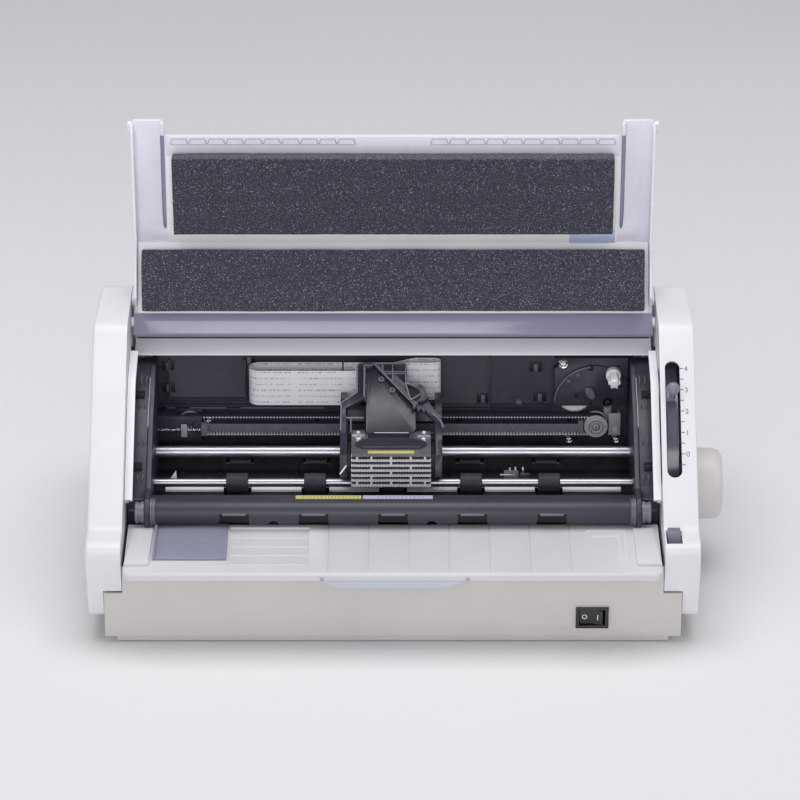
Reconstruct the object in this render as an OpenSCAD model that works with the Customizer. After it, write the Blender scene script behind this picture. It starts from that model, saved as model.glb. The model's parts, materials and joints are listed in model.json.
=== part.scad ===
// Flatbed dot matrix printer with its cover open.
// X runs along the carriage, Y to the rear and Z up. The layout is worked out with
// Y = 0 at the front panel and Z = 0 at the ground, then seat() centres the footprint.

/* [Body] */
// Width over both side casings
body_w = 391; // [380:1:410]
// Depth from the front panel to the rear wall
body_d = 250; // [245:1:280]
// Width of each side casing
side_w = 22.5; // [20:0.5:26]
// Height of the side casings' top
body_h = 176; // [175:1:182]
// Casing wall
wall = 2.5; // [2:0.1:3]
// Seam between neighbouring casings
seam = 0.3; // [0.1:0.1:0.5]
// Ground to the underside of the side casings
side_lift = 16; // [12:1:20]
// Height of the wide part of the lower case
base_h = 36; // [32:1:40]
// How far each side of the lower case is set in from the side casings
base_gap = 11; // [8:0.5:16]
// How far each side of the plinth is set in from the lower case
plinth_gap = 7.5; // [5:0.5:12]
// Height of the lower case's floor
floor_z = 8; // [7:0.5:9]

/* [Front table] */
// How far the table reaches in front of the front panel
table_reach = 14; // [10:1:20]
// Height of the table's front crest
table_z = 56.6; // [56:0.2:58]
// Depth of the table
table_d = 60; // [58:1:61]
// Thickness of the table
table_t = 3; // [2:0.5:4]
// Pitch of the grooves in the table
groove_pitch = 25.8; // [20:0.2:30]
// Width of the pull-out support
support_w = 93; // [80:1:100]

/* [Lid] */
// Gap between the lid's ends and the side casings
lid_gap = 2.4; // [1.5:0.1:3]
// Hinge to bend
lid_rear_l = 53.3; // [50:0.1:55]
// Bend to front edge
lid_front_l = 76.5; // [72:0.5:78]
// How far the corner ears pass the front edge
ear_l = 11; // [8:0.5:12]
// Width of the corner ears
ear_w = 22; // [16:1:24]
// Bend between the two faces of the lid
lid_bend = 28; // [24:1:30]
// Lid wall
lid_t = 2.4; // [2:0.1:3]
// Depth of the lid's side rims
rim_d = 7.5; // [5:0.5:8]
// Thickness of the inner panel
panel_t = 1.5; // [1:0.1:2]
// Thickness of the sound foam
foam_t = 10; // [6:0.5:10.5]
// Radius of the hinge pins
pin_r = 3; // [2.5:0.1:3.5]
// How far the open lid stands above the horizontal
lid_open = 65; // [63:1:65]
// Swing from open to closed
lid_swing = 130.5; // [129:0.5:131]

/* [Frame and paper path] */
// Gap between the mechanism's frames and the side casings
mech_gap = 16; // [14:0.5:17]
// Side frame plate
frame_t = 3; // [2:0.5:3.5]
// Height of the paper path
paper_z = 62; // [61.8:0.1:62.2]
// Deck plate
deck_t = 2.5; // [2:0.1:3]
// Radius of the feed rollers
roller_r = 6.35; // [6:0.05:6.4]
// Length of each roller
roller_l = 14.3; // [12:0.1:18]
// Distance between rollers
roller_pitch = 51.2; // [48:0.1:53]
// Number of rollers on each shaft
roller_n = 5; // [3:1:5]
// Front roller line behind the front panel
front_roller_y = 93.7; // [93:0.1:94.5]
// Radius of the rollers' shafts
feed_shaft_r = 2.8; // [2:0.1:3]
// Paper thickness left between rollers
paper_t = 0.3; // [0.3:0.05:0.5]

/* [Feed gears] */
// Tooth module
gear_m = 1; // [0.98:0.01:1]
// Teeth on the roller gears
roller_teeth = 22; // [22:2:22]
// Teeth on the knob gear
knob_teeth = 30; // [30:2:30]
// Teeth on the motor pinion
pinion_teeth = 12; // [10:2:12]
// Width of the feed gears
gear_w = 5; // [3:0.5:5.5]
// Radius of the paper knob
knob_r = 24; // [20:0.5:26]
// Width of the paper knob outside the casing
knob_w = 22; // [18:0.5:24]
// Radius of the knob's shaft
knob_shaft_r = 4; // [3:0.1:5]

/* [Carriage] */
// Carriage rod radius
rod_r = 4; // [3.5:0.1:4.2]
// Carriage rod behind the front panel
rod_y = 124.7; // [124:0.1:125.5]
// Carriage rod height
rod_z = 76; // [75.5:0.1:76.5]
// Running clearance of shafts
run = 0.06; // [0.03:0.01:0.09]
// Width of the carriage
carriage_w = 66.5; // [64:0.5:68]
// Cheek plate
cheek_t = 4.5; // [3:0.5:5]
// Width of the print head
head_w = 52; // [44:0.5:54]
// Depth of the print head
head_d = 34; // [30:0.5:34.5]
// Number of cooling fins
fin_n = 6; // [5:1:6]
// Fin thickness
fin_t = 1.1; // [0.8:0.1:1.5]
// Distance between fins
fin_pitch = 3.6; // [3:0.1:3.6]

/* [Belt drive] */
// Pitch radius of the belt on its pulleys
belt_r = 6.45; // [6:0.05:7]
// Belt thickness
belt_t = 1.4; // [1:0.1:1.6]
// Belt width
belt_w = 6; // [5:0.5:6]
// Distance of the drive pulley from the right frame
drive_gap = 21.6; // [20:0.1:23]
// Distance of the idler pulley from the left frame
idler_gap = 21; // [20:0.5:23]

/* [Controls] */
// Length of the paper gap slot along the slope
slot_l = 80; // [74:1:84]
// Width of the paper gap slot
slot_w = 9.6; // [9.2:0.1:10.4]
// Radius of the gap lever's swing
gap_lever_r = 78; // [77:0.5:79]
// Width of the power switch
switch_w = 21; // [19:0.5:24]
// Height of the power switch
switch_h = 15; // [13:0.5:17]
// Power switch from the middle
switch_x = 127.4; // [100:0.1:140]

/* [Hidden] */

$fn = 48;
eps = 0.01;

// Casings
inner_x = body_w / 2 - side_w;          // inner face of the side casings
upper_x = inner_x - seam;               // end of the upper case
base_x = body_w / 2 - base_gap;
plinth_x = base_x - plinth_gap;
nose = [[6, side_lift], [-3, 54], [-3, 70.7], [18, 72]];
slope_top = [body_h - 59, body_h - 5];
side_profile = concat(nose, [slope_top, [172, body_h], [body_d - 10, body_h - 36],
    [body_d, body_h - 46], [body_d, side_lift]]);
side_rounds = [5, 5, 8, 4, 5, 5, 5, 5, 5];     // rounding of each corner of the profile
plan_taper = 5;                         // how far the casings narrow towards the rear
inner_wall_z = 45;                      // below this the casings are open on the inside

// Front table
table_x = inner_x - 2;
table_slope = atan((paper_z - table_z) / table_d);
table_rear_y = table_d - table_reach;
lip_h = 4.5;
end_block_h = 1.8;
table_under = table_z - table_t + table_reach * tan(table_slope);
support_t = 1.4;
support_z = table_z - lip_h - support_t;

// Lid, in the plane of its rear face: Y away from the hinge, Z towards the inside
hinge = [148, body_h - 16];
lid_x = inner_x - lid_gap;
rim_t = 2;
bar_back = 10;                          // bar behind the hinge line
bar_front = 5.2;
bar_t = 6;
slit_x = lid_x - ear_w + 0.3;
slit_w = 2.6;
foam_end = 62.6;                        // front edge of the front foam and its panel
tooth_pitch = (slit_x - 9.75) / 11.5;
ledge_w = 5;
ledge_gap = 0.5;
ledge_t = 3;
ledge_l = 84;                           // ledge below the bend
strip_front = [143, hinge.y - 21.7];             // front edge of the shelf under the hinge

// Mechanism
frame_x = inner_x - mech_gap;
deck_z = paper_z - 1;
rear_frame_y = 158;
rear_frame_h = strip_front.y - 5.3;
rib_h = 2.4;
bar_y = 48.5;
bar_z = paper_z + 7.5;
bar_r = 8.4;
feed_z = paper_z - roller_r - paper_t / 2;
idler_z = paper_z + roller_r + paper_t / 2;
gear_gap = gear_m * (roller_teeth + knob_teeth) / 2;
knob_y = front_roller_y + gear_gap;
rear_roller_y = knob_y + gear_gap;
pinch_r = 4;
pinch_z = paper_z + paper_t / 2 + pinch_r;
gear_x = frame_x + frame_t + 2;
pinion_z = feed_z - gear_m * (knob_teeth + pinion_teeth) / 2;
motor_r = 17;
bush_wall = 3;
window = [roller_l + 4, 15];            // opening in the deck over each roller
roller_x = [for (i = [0 : roller_n - 1]) (i - (roller_n - 1) / 2) * roller_pitch];

// Carriage, around its own middle
carriage_x = -1.3;
head_y = 72;
head_z = idler_z + roller_r + 1.2;      // underside clears the idler rollers
head_plate_t = 1.75;
head_top = head_z + fin_n * fin_pitch + head_plate_t;
nose_y = front_roller_y + roller_r + 2;
film_low = [104, head_top + 2.8];
film_high = [143, 128];
film_slope = atan2(film_high.y - film_low.y, film_high.x - film_low.x);
film_t = 1.5;
// Cheek outline: head side, film slope, rear and the loop around the rod
cheek = [[head_y + 2, head_z + 6], [head_y + 2, head_top - 1], [film_low.x, film_low.y + 0.5],
    [123, film_low.y + 0.5 + 19 * tan(film_slope)], [137, 113.9], [137, 71.5], [132, 68.5], [118, 68.5],
    [108, 76]];
// Outlines in the film's plane, X across and Y up the slope: film, left arm and right bracket
film_outline = [[-16.7, 47.5], [-12, 48.3], [4.7, 30], [16, 15.3], [16, 1.5], [12.9, -2.5], [-16.7, -2.5]];
arm_outline = [[-22.5, 26], [-22.5, 47], [-19.5, 50], [-12, 50], [-12, 47.5], [-17.5, 47.5], [-17.5, 22],
    [-29.9, 14.5], [-29.9, -4], [-31.2, -6], [-33.25, -4], [-33.25, 18]];
bracket_outline = [[-12.2, 50], [10.2, 50], [10.2, 34.5], [16.9, 31.8], [24.5, 20.6], [29, 12.5], [33.25, 9],
    [33.25, 1], [29, 6], [22, 14], [16.6, 15.4], [5, 30.4], [-11.8, 48.8]];

// Belt
drive_pulley_x = frame_x - drive_gap;
idler_pulley_x = idler_gap - frame_x;
belt_y = 151;
belt_z = 84;
flange_r = belt_r + 1.55;
flange_t = 1;
encoder_y = belt_y - 5.2;

// Ribbon drive and gap lever
spindle = [frame_x - 10.8, 121.8];
ribbon_gear_at = [frame_x - 36, 103.8];
ribbon_gear_r = 11.5;
slope_mid = slope_top - [45.6, 45.6];
slot_x = inner_x + 8;
gap_angle = 122.6;
release_x = inner_x + 6;
switch_z = 18.8;

function unit(v) = v / norm(v);

// Round every corner of an outline by a short curve that starts r[i] from corner i
function soft(p, r, n = 4) = [for (i = [0 : len(p) - 1], k = [0 : n])
    let (b = p[i], a = p[(i + len(p) - 1) % len(p)], c = p[(i + 1) % len(p)], s = k / n,
         a1 = b + unit(a - b) * min(r[i], norm(a - b) / 2.2),
         c1 = b + unit(c - b) * min(r[i], norm(c - b) / 2.2))
    (1 - s) * (1 - s) * a1 + 2 * s * (1 - s) * b + s * s * c1];

// Move every side of a clockwise outline inwards by d
function inset(p, d) = [for (i = [0 : len(p) - 1])
    let (b = p[i], u = unit(b - p[(i + len(p) - 1) % len(p)]), v = unit(p[(i + 1) % len(p)] - b),
         m = [u.y, -u.x], n = [v.y, -v.x])
    b + (m + n) * d / (1 + m * n)];

// Corner of the lid's bend at depth d, and a point of its front plane, in the rear plane
function bend_at(d) = [lid_rear_l - d * tan(lid_bend / 2), d];
function front(y, z) = [lid_rear_l + y * cos(lid_bend) - z * sin(lid_bend),
    y * sin(lid_bend) + z * cos(lid_bend)];

// Centre the footprint on the origin
module seat() translate([-knob_w / 2, (table_reach - body_d) / 2, 0]) children();

// Extrude an outline drawn in Y and Z along X
module along_x(x0, x1) translate([x0, 0, 0]) rotate([90, 0, 90]) linear_extrude(x1 - x0) children();

// Cylinder along X around [y, z]
module rod_x(x0, x1, y, z, r) translate([x0, y, z]) rotate([0, 90, 0]) cylinder(r = r, h = x1 - x0);

// Cylinder along Y around [x, z]
module rod_y_axis(y0, y1, x, z, r)
    translate([x, y0, z]) rotate([-90, 0, 0]) cylinder(r = r, h = y1 - y0);

// Box between two corners
module box(a, b) translate(a) cube(b - a);

// The lid's two planes
module lid_plane() translate([0, hinge.x, hinge.y]) rotate([lid_open, 0, 0]) children();
module lid_front_plane()
    lid_plane() translate([0, lid_rear_l, 0]) rotate([lid_bend, 0, 0]) children();
module closed_lid_plane()
    translate([0, hinge.x, hinge.y]) rotate([lid_open + lid_swing, 0, 0]) children();

// Spur gear around X with trapezoid teeth, a gap facing +Y when turned by half a tooth
module gear_x_axis(teeth, w, bore_r, turn = 0) {
    pitch_r = teeth * gear_m / 2;
    root_r = pitch_r - 1.25 * gear_m;
    tip_r = pitch_r + 0.85 * gear_m;
    rotate([turn, 0, 0]) rotate([90, 0, 90]) difference() {
        union() {
            rotate(180 / teeth) cylinder(r = root_r, h = w);
            for (i = [0 : teeth - 1]) rotate(i * 360 / teeth) linear_extrude(w)
                polygon([[root_r - 0.5, -0.92 * gear_m], [pitch_r, -0.68 * gear_m], [tip_r, -0.3 * gear_m],
                    [tip_r, 0.3 * gear_m], [pitch_r, 0.68 * gear_m], [root_r - 0.5, 0.92 * gear_m]]);
        }
        translate([0, 0, -1]) cylinder(r = bore_r, h = w + 2);
    }
}

// ---- Casings ----

module lower_case() color("gainsboro") seat() difference() {
    union() {
        box([-plinth_x, 2, 1], [plinth_x, body_d - 2, 6]);
        box([-base_x, 0, 5], [base_x, body_d - wall, base_h]);
        box([-inner_x + seam, 0, base_h - 1], [inner_x - seam, wall, table_under - seam]);
        box([-inner_x + 12, body_d - 2 * wall, base_h - 1], [inner_x - 12, body_d - wall, paper_z - 8]);
    }
    box([-base_x + wall, wall, floor_z], [base_x - wall, body_d - 2 * wall, base_h + 1]);
    // power switch, pull-out support, inlet and data port
    box([switch_x - switch_w / 2 + 1, -1, switch_z - switch_h / 2 + 1],
        [switch_x + switch_w / 2 - 1, wall + 1, switch_z + switch_h / 2 - 1]);
    box([-support_w / 2 - 1, -1, support_z - 1], [support_w / 2 + 1, wall + 1, table_under]);
    box([-140, body_d - 3 * wall, 14], [-112, body_d, 34]);
    box([95, body_d - 3 * wall, 14], [135, body_d, 29]);
    // recesses for the feet
    for (x = [-1, 1], y = [22, body_d - 24]) translate([x * (plinth_x - 22), y, -1]) cylinder(r = 9, h = 3.5);
}

// Side casing seen from its inner face at X = 0, with the outer face at X = side_w
module side_shell() difference() {
    intersection() {
        along_x(0, side_w) polygon(soft(side_profile, side_rounds));
        linear_extrude(body_h + 5) polygon([[0, -10], [side_w, -10], [side_w, slope_top.x],
            [side_w - plan_taper, body_d + 1], [0, body_d + 1]]);
    }
    intersection() {
        along_x(wall, side_w - wall) polygon(inset(concat(side_profile, [[body_d, -20], [6, -20]]), wall));
        linear_extrude(body_h + 5) polygon([[0, -10], [side_w - wall, -10], [side_w - wall, slope_top.x],
            [side_w - wall - plan_taper, body_d + 1], [0, body_d + 1]]);
    }
    box([-1, 10, -1], [wall + 1, body_d - wall, inner_wall_z]);
    box([-1, -10, -1], [base_x - inner_x + 0.5, 10, base_h + 1]);
    box([-1, body_d - 2 * wall, -1], [base_x - inner_x + 0.5, body_d + 1, base_h + 1]);
    // bearing of the lid's hinge pin
    rod_x(-1, wall + 1, hinge.x, hinge.y, pin_r + run);
}

module left_side_casing() color("whitesmoke") seat() translate([-inner_x, 0, 0]) mirror([1, 0, 0]) side_shell();

module right_side_casing() color("whitesmoke") seat() difference() {
    translate([inner_x, 0, 0]) side_shell();
    // slot of the gap lever, along the slope
    translate([slot_x, slope_mid.x, slope_mid.y]) rotate([45, 0, 0]) linear_extrude(20, center = true) hull()
        for (s = [-1, 1]) translate([0, s * (slot_l - slot_w) / 2]) circle(r = slot_w / 2);
    // inner wall cut away for the lever's arm
    along_x(inner_x - 1, inner_x + wall + 1) polygon([[rod_y + 8, rod_z - 8], [rod_y + 8, rod_z + 8],
        [108, 155], [96, 147], [46, 94], [50, 85], [rod_y - 8, rod_z - 8]]);
    // pocket of the release lever
    box([release_x - 5, 2, 60], [release_x + 5, 17, 90]);
    rod_x(inner_x - 1, body_w / 2 + 1, knob_y, feed_z, knob_shaft_r + 0.5);
}

module upper_case() color("white") seat() difference() {
    union() {
        along_x(-upper_x, upper_x) polygon([strip_front, strip_front + [12, 5.3],
            strip_front + [18.5, 11.7], [161.5, body_h - 9.5], [155.8, body_h - 7.5], [155.8, body_h - 3.5],
            [164, body_h - 2], [172, body_h - 2], [body_d - 10, body_h - 38],
            [body_d, body_h - 48], [body_d, paper_z + 12], [body_d - wall, paper_z + 12],
            [body_d - wall, body_h - 49.5], [body_d - 11.4, body_h - 40.2], [171.4, body_h - 4.5],
            [164, body_h - 4.5], strip_front + [21, 10.7], strip_front + [13, 2.9],
            [strip_front.x + wall, strip_front.y - 2],
            [strip_front.x + wall, rear_frame_h + seam], [strip_front.x, rear_frame_h + seam]]);
        for (s = [-1, 1]) scale([s, 1, 1]) ledge();
    }
    // the shelf is notched beside the lid's ends
    for (s = [-1, 1]) scale([s, 1, 1])
        box([upper_x - 2, strip_front.x - 1, strip_front.y - 3], [inner_x + 1, 160, strip_front.y + 8.7]);
}

// Ledge that carries the closed lid's rim, and the web below it that joins it to the shelf
module ledge() {
    m = rim_d + ledge_gap;
    low = m + ledge_t;
    web_m = low - 1;
    translate([upper_x, 0, 0]) closed_lid_plane() {
        along_x(-ledge_w, 0) polygon([[20, m], bend_at(m), front(ledge_l, m), front(ledge_l, low),
            bend_at(low), [20, low]]);
        along_x(-wall, 0) polygon([[20, web_m], bend_at(web_m), front(ledge_l, web_m), front(ledge_l, web_m + 4),
            bend_at(20), [8, 25], [8, 21], [20, 17]]);
    }
}

module front_table() color("gainsboro") seat() difference() {
    translate([0, -table_reach, table_z]) rotate([table_slope, 0, 0]) union() {
        difference() {
            along_x(-table_x, table_x) polygon(concat(
                [for (a = [90 : -15 : 0]) [1.5 - 1.5 * sin(a), -1.5 + 1.5 * cos(a)]],
                [[table_d, 0], [table_d, -table_t], [3, -table_t], [3, -lip_h], [0, -lip_h]]));
            // grooves along the paper, and the stepped recess
            for (i = [0 : 6]) box([-41.5 + i * groove_pitch, 4, -0.4], [-41 + i * groove_pitch, table_d + 1, 1]);
            for (i = [0 : 3]) box([-105, 12 + i * 11, -0.5 - i * 0.3], [-54, 23.5 + i * 11, 1]);
        }
        // low blocks at both ends
        for (s = [-1, 1]) scale([s, 1, 1]) translate([0, 0, -0.5]) linear_extrude(end_block_h + 0.5)
            polygon([[table_x - 15.5, 10], [table_x, 10], [table_x - 3.5, table_d - 7],
                [table_x - 16.5, table_d - 7]]);
    }
    // corners of the front lip
    for (s = [-1, 1]) scale([s, 1, 1]) translate([table_x, -table_reach, 0]) rotate(45)
        cube([5, 5, 200], center = true);
}

module pull_out_support() color("lightsteelblue") seat() union() {
    box([-support_w / 2, -table_reach + 2, support_z - 0.2], [support_w / 2, 40, support_z + support_t - 0.2]);
    translate([0, -table_reach + 2, 0]) rotate([90, 0, 0]) linear_extrude(1.5)
        polygon([[-support_w / 2, support_z + support_t - 0.2], [support_w / 2, support_z + support_t - 0.2],
            [support_w / 2 - 13, support_z - 4], [-support_w / 2 + 13, support_z - 4]]);
}

module rubber_feet() color("dimgray") seat()
    for (x = [-1, 1], y = [22, body_d - 24]) translate([x * (plinth_x - 22), y, 0]) cylinder(r = 8.5, h = 2.5);

// ---- Lid ----

module lid_shell() color("lavender") seat() {
    h = lid_t / 2;
    difference() {
        union() {
            lid_plane() along_x(-lid_x, lid_x) polygon([[bar_front, -h], bend_at(-h), front(lid_front_l, -h),
                front(lid_front_l, h), bend_at(h), [bar_front, h]]);
            lid_front_plane() for (s = [-1, 1]) scale([s, 1, 1]) linear_extrude(lid_t, center = true)
                polygon([[lid_x, lid_front_l - 1], [lid_x, lid_front_l + ear_l - 2],
                    [lid_x - 2, lid_front_l + ear_l], [lid_x - ear_w + 2, lid_front_l + ear_l],
                    [lid_x - ear_w, lid_front_l + ear_l - 2], [lid_x - ear_w, lid_front_l - 1]]);
            for (s = [-1, 1]) scale([s, 1, 1]) lid_rim();
        }
        lid_front_plane() for (s = [-1, 1]) linear_extrude(20, center = true) hull()
            for (b = [9, lid_front_l - 3]) translate([s * (slit_x + slit_w / 2), b]) circle(r = slit_w / 2);
    }
}

module lid_rim() {
    h = lid_t / 2 - eps;
    y = lid_front_l + ear_l - 2;
    lid_plane() along_x(lid_x - rim_t, lid_x) polygon([[bar_front + 4, h], bend_at(h), front(y, h),
        front(y, rim_d - 3), front(y - 6, rim_d), bend_at(rim_d), [bar_front + 10, rim_d]]);
}

module lid_panel() color("ghostwhite") seat() {
    h = lid_t / 2;
    t = tan(lid_bend / 2);
    lid_plane() along_x(-lid_x + rim_t + 0.5, lid_x - rim_t - 0.5)
        polygon([[bar_front + 0.5, h], [lid_rear_l - h * t, h], [lid_rear_l - (h + panel_t) * t, h + panel_t],
            [bar_front + 0.5, h + panel_t]]);
    lid_front_plane() along_x(-slit_x + 1, slit_x - 1)
        polygon([[h * t, h], [foam_end, h], [foam_end, h + panel_t], [(h + panel_t) * t, h + panel_t]]);
}

module lid_front_foam() color("dimgray") seat() lid_front_plane()
    box([-slit_x + 4.4, 10, lid_t / 2 + panel_t], [slit_x - 4.4, foam_end, lid_t / 2 + panel_t + foam_t]);

module lid_rear_foam() color("dimgray") seat() lid_plane()
    box([-lid_x + 4.9, 6.6, lid_t / 2 + panel_t], [lid_x - 4.9, 47.8, lid_t / 2 + panel_t + foam_t]);

// Front edge strip with its row of tear teeth
module tear_strip() color("lavender") seat() lid_front_plane() {
    box([-slit_x + 1, 63, lid_t / 2], [slit_x - 1, lid_front_l, lid_t / 2 + panel_t]);
    for (i = [-11.5 : 11.5]) if (abs(i + 0.5) > 1.6)
        translate([i * tooth_pitch, 71.5, lid_t / 2 + panel_t - eps]) linear_extrude(0.8)
            polygon([[-5, -2], [5, -2], [4, 2], [-4, 2]]);
}

module hinge_bar() color("lightsteelblue") seat() lid_plane() union() {
    along_x(-lid_x, lid_x) hull() {
        translate([-bar_back + bar_t / 2, 0]) circle(d = bar_t);
        translate([bar_front - 1, 0]) square([2, bar_t], center = true);
    }
    for (s = [-1, 1]) scale([s, 1, 1]) rod_x(lid_x - 1, inner_x + wall - 0.5, 0, 0, pin_r);
}

// ---- Frame and paper path ----

module side_frame(s) scale([s, 1, 1]) difference() {
    union() {
        along_x(frame_x, frame_x + frame_t) polygon([[54, floor_z], [54, 58], [table_rear_y + 1, 63.5], [38.5, 63.5],
            [38.5, 74], [46, 80], [62, 80], [100, 112], [140, rear_frame_h - 1],
            [rear_frame_y + 3, rear_frame_h - 1], [rear_frame_y + 3, floor_z]]);
        // collar of the guide bar, rod boss and bottom flange
        rod_x(frame_x + frame_t - eps, frame_x + frame_t + 6, bar_y, bar_z, 6);
        rod_x(frame_x + frame_t - eps, frame_x + frame_t + 2, rod_y, rod_z, rod_r + 4);
        box([frame_x - 8, 60, floor_z], [frame_x + eps, 80, floor_z + 2]);
        box([frame_x - 8, 140, floor_z], [frame_x + eps, rear_frame_y, floor_z + 2]);
    }
    rod_x(frame_x - 1, frame_x + frame_t + 3, rod_y, rod_z, rod_r);
    rod_x(frame_x - 1, frame_x + frame_t + 1, front_roller_y, idler_z, feed_shaft_r + run);
    rod_x(frame_x - 1, frame_x + frame_t + 1, front_roller_y, feed_z, feed_shaft_r + run);
    rod_x(frame_x - 1, frame_x + frame_t + 1, rear_roller_y, feed_z, feed_shaft_r + run);
    rod_x(frame_x - 1, frame_x + frame_t + 1, rear_roller_y, pinch_z, 1.5 + run);
}

module left_frame() color("darkslategray") seat() side_frame(-1);

module right_frame() color("darkslategray") seat() difference() {
    side_frame(1);
    rod_x(frame_x - 1, frame_x + frame_t + 1, knob_y, feed_z, knob_shaft_r + run);
    rod_x(frame_x - 1, frame_x + frame_t + 1, knob_y, pinion_z, 3);
}

module rear_frame() color("darkslategray") seat() difference() {
    union() {
        box([-frame_x, rear_frame_y, floor_z], [frame_x, rear_frame_y + 3, rear_frame_h]);
        // ribs around the recess behind the carriage, and the left recess
        rib_frame(8, 65, 92, rear_frame_h - 2);
        rib_frame(7 - frame_x, 59 - frame_x, 99, rear_frame_h - 4);
        box([-frame_x, rear_frame_y - 2, 94], [frame_x - 55, rear_frame_y + eps, 96]);
        for (i = [1 : 9]) box([-140 + i * 26, rear_frame_y - 2, 72], [-138 + i * 26, rear_frame_y + eps, 76]);
    }
    box([7 - frame_x, rear_frame_y - 5, paper_z - 3], [frame_x - 7, rear_frame_y + 5, paper_z + 4]);
    rod_y_axis(rear_frame_y - 1, rear_frame_y + 4, drive_pulley_x, belt_z, 2 + run);
    rod_y_axis(rear_frame_y - 1, rear_frame_y + 4, spindle.x, spindle.y, 2 + run);
}

module rib_frame(x0, x1, z0, z1) difference() {
    box([x0, rear_frame_y - rib_h, z0], [x1, rear_frame_y + eps, z1]);
    box([x0 + 1.6, rear_frame_y - 5, z0 + 1.6], [x1 - 1.6, rear_frame_y + 1, z1 + 5]);
}

module roller_windows(y) for (x = roller_x) translate([x, y, paper_z])
    cube([window.x, window.y, 20], center = true);

module paper_deck() color("darkslategray") seat() difference() {
    union() {
        box([-frame_x, table_rear_y + 1, deck_z - deck_t], [frame_x, rear_frame_y, deck_z]);
        box([7 - frame_x, rear_frame_y, deck_z - 1.5], [frame_x - 7, body_d - 3 * wall, deck_z]);
        // ribs that carry the paper behind the platen
        for (i = [-5 : 5]) box([i * 25.6 - 13.6, front_roller_y + 20, deck_z - eps],
            [i * 25.6 - 12, rear_frame_y - 1, paper_z]);
    }
    roller_windows(front_roller_y);
    roller_windows(rear_roller_y);
}

module steel_guide_plate() color("silver") seat() difference() {
    box([7 - frame_x, front_roller_y - 9, deck_z], [frame_x - 7, front_roller_y + 8, paper_z]);
    roller_windows(front_roller_y);
}

module platen_bar() color("dimgray") seat()
    box([-frame_x + 3, nose_y, deck_z], [frame_x - 3, nose_y + 9, paper_z - 0.1]);

module guide_bar() color("dimgray") seat() difference() {
    union() {
        rod_x(-frame_x, frame_x, bar_y, bar_z, bar_r);
        box([-frame_x, bar_y, bar_z + 5], [frame_x, bar_y + 10, bar_z + 7.4]);
    }
    box([-frame_x - 1, bar_y - 10, bar_z - 15], [frame_x + 1, bar_y + 12, paper_z + 1.8]);
    // windows and small notches at the lower edge
    for (x = roller_x) box([x - 9.7, bar_y - 12, bar_z - 12], [x + 9.7, bar_y - 3, bar_z - 2.2]);
    for (x = [-77, 25]) rod_y_axis(bar_y - 12, bar_y - 4, x, paper_z + 1.8, 3.5);
    box([-frame_x - 1, bar_y - 5, bar_z - 12], [frame_x + 1, bar_y + 6, bar_z + 3]);
}

module scale_strips() color("khaki") seat()
    for (x = [-63, -19.5]) box([x, bar_y + 4, bar_z + 7.4], [x + 42.5, bar_y + 8.5, bar_z + 8]);

// ---- Paper feed ----

module roller_row(y, z, r) for (x = roller_x) difference() {
    rod_x(x - roller_l / 2, x + roller_l / 2, y, z, r);
    rod_x(x - roller_l, x + roller_l, y, z, feed_shaft_r);
}

// The rod's right end carries the gap lever
module carriage_rod() color("silver") seat() union() {
    rod_x(-frame_x - frame_t, frame_x + frame_t, rod_y, rod_z, rod_r);
    rod_x(frame_x, inner_x + 7, rod_y, rod_z, rod_r - 1);
}

module idler_shaft() color("silver") seat()
    rod_x(-frame_x - frame_t, frame_x + frame_t, front_roller_y, idler_z, feed_shaft_r);

module idler_rollers() color("dimgray") seat() roller_row(front_roller_y, idler_z, roller_r);

module front_feed_shaft() color("silver") seat()
    rod_x(-frame_x - frame_t, gear_x + gear_w, front_roller_y, feed_z, feed_shaft_r);

module front_feed_rollers() color("dimgray") seat() roller_row(front_roller_y, feed_z, roller_r);

module rear_feed_shaft() color("silver") seat()
    rod_x(-frame_x - frame_t, gear_x + gear_w, rear_roller_y, feed_z, feed_shaft_r);

module rear_feed_rollers() color("dimgray") seat() roller_row(rear_roller_y, feed_z, roller_r);

module rear_pinch_rollers() color("dimgray") seat() union() {
    rod_x(-frame_x - frame_t, frame_x + frame_t, rear_roller_y, pinch_z, 1.5);
    for (x = roller_x) rod_x(x - roller_l / 2, x + roller_l / 2, rear_roller_y, pinch_z, pinch_r);
}

module front_feed_gear() color("ivory") seat() translate([gear_x, front_roller_y, feed_z])
    gear_x_axis(roller_teeth, gear_w, feed_shaft_r, 180 / roller_teeth);

module rear_feed_gear() color("ivory") seat() translate([gear_x, rear_roller_y, feed_z])
    gear_x_axis(roller_teeth, gear_w, feed_shaft_r, 180 / roller_teeth);

// Gear and shaft in one moulding
module knob_gear() color("ivory") seat() union() {
    translate([gear_x, knob_y, feed_z]) gear_x_axis(knob_teeth, gear_w, knob_shaft_r - 1);
    rod_x(frame_x + 0.2, body_w / 2 + 8, knob_y, feed_z, knob_shaft_r);
}

module paper_knob() color("linen") seat() translate([body_w / 2 + 0.5, knob_y, feed_z]) rotate([0, 90, 0])
    rotate_extrude($fn = 72) polygon([[knob_shaft_r, 0], [knob_r - 1, 0], [knob_r, 1], [knob_r - 0.6, knob_w - 6],
        [knob_r - 2, knob_w - 2], [knob_r - 5, knob_w - 0.5], [0, knob_w - 0.5], [0, 8], [knob_shaft_r, 7.5]]);

module feed_motor() color("dimgray") seat() difference() {
    rod_x(frame_x - 22, frame_x, knob_y, pinion_z, motor_r);
    rod_x(frame_x - 10, frame_x + 1, knob_y, pinion_z, 1.5 + run);
}

module motor_pinion() color("goldenrod") seat() union() {
    translate([gear_x, knob_y, pinion_z]) gear_x_axis(pinion_teeth, gear_w, 1);
    rod_x(frame_x - 9, gear_x + gear_w, knob_y, pinion_z, 1.5);
}

// ---- Carriage drive ----

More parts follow.
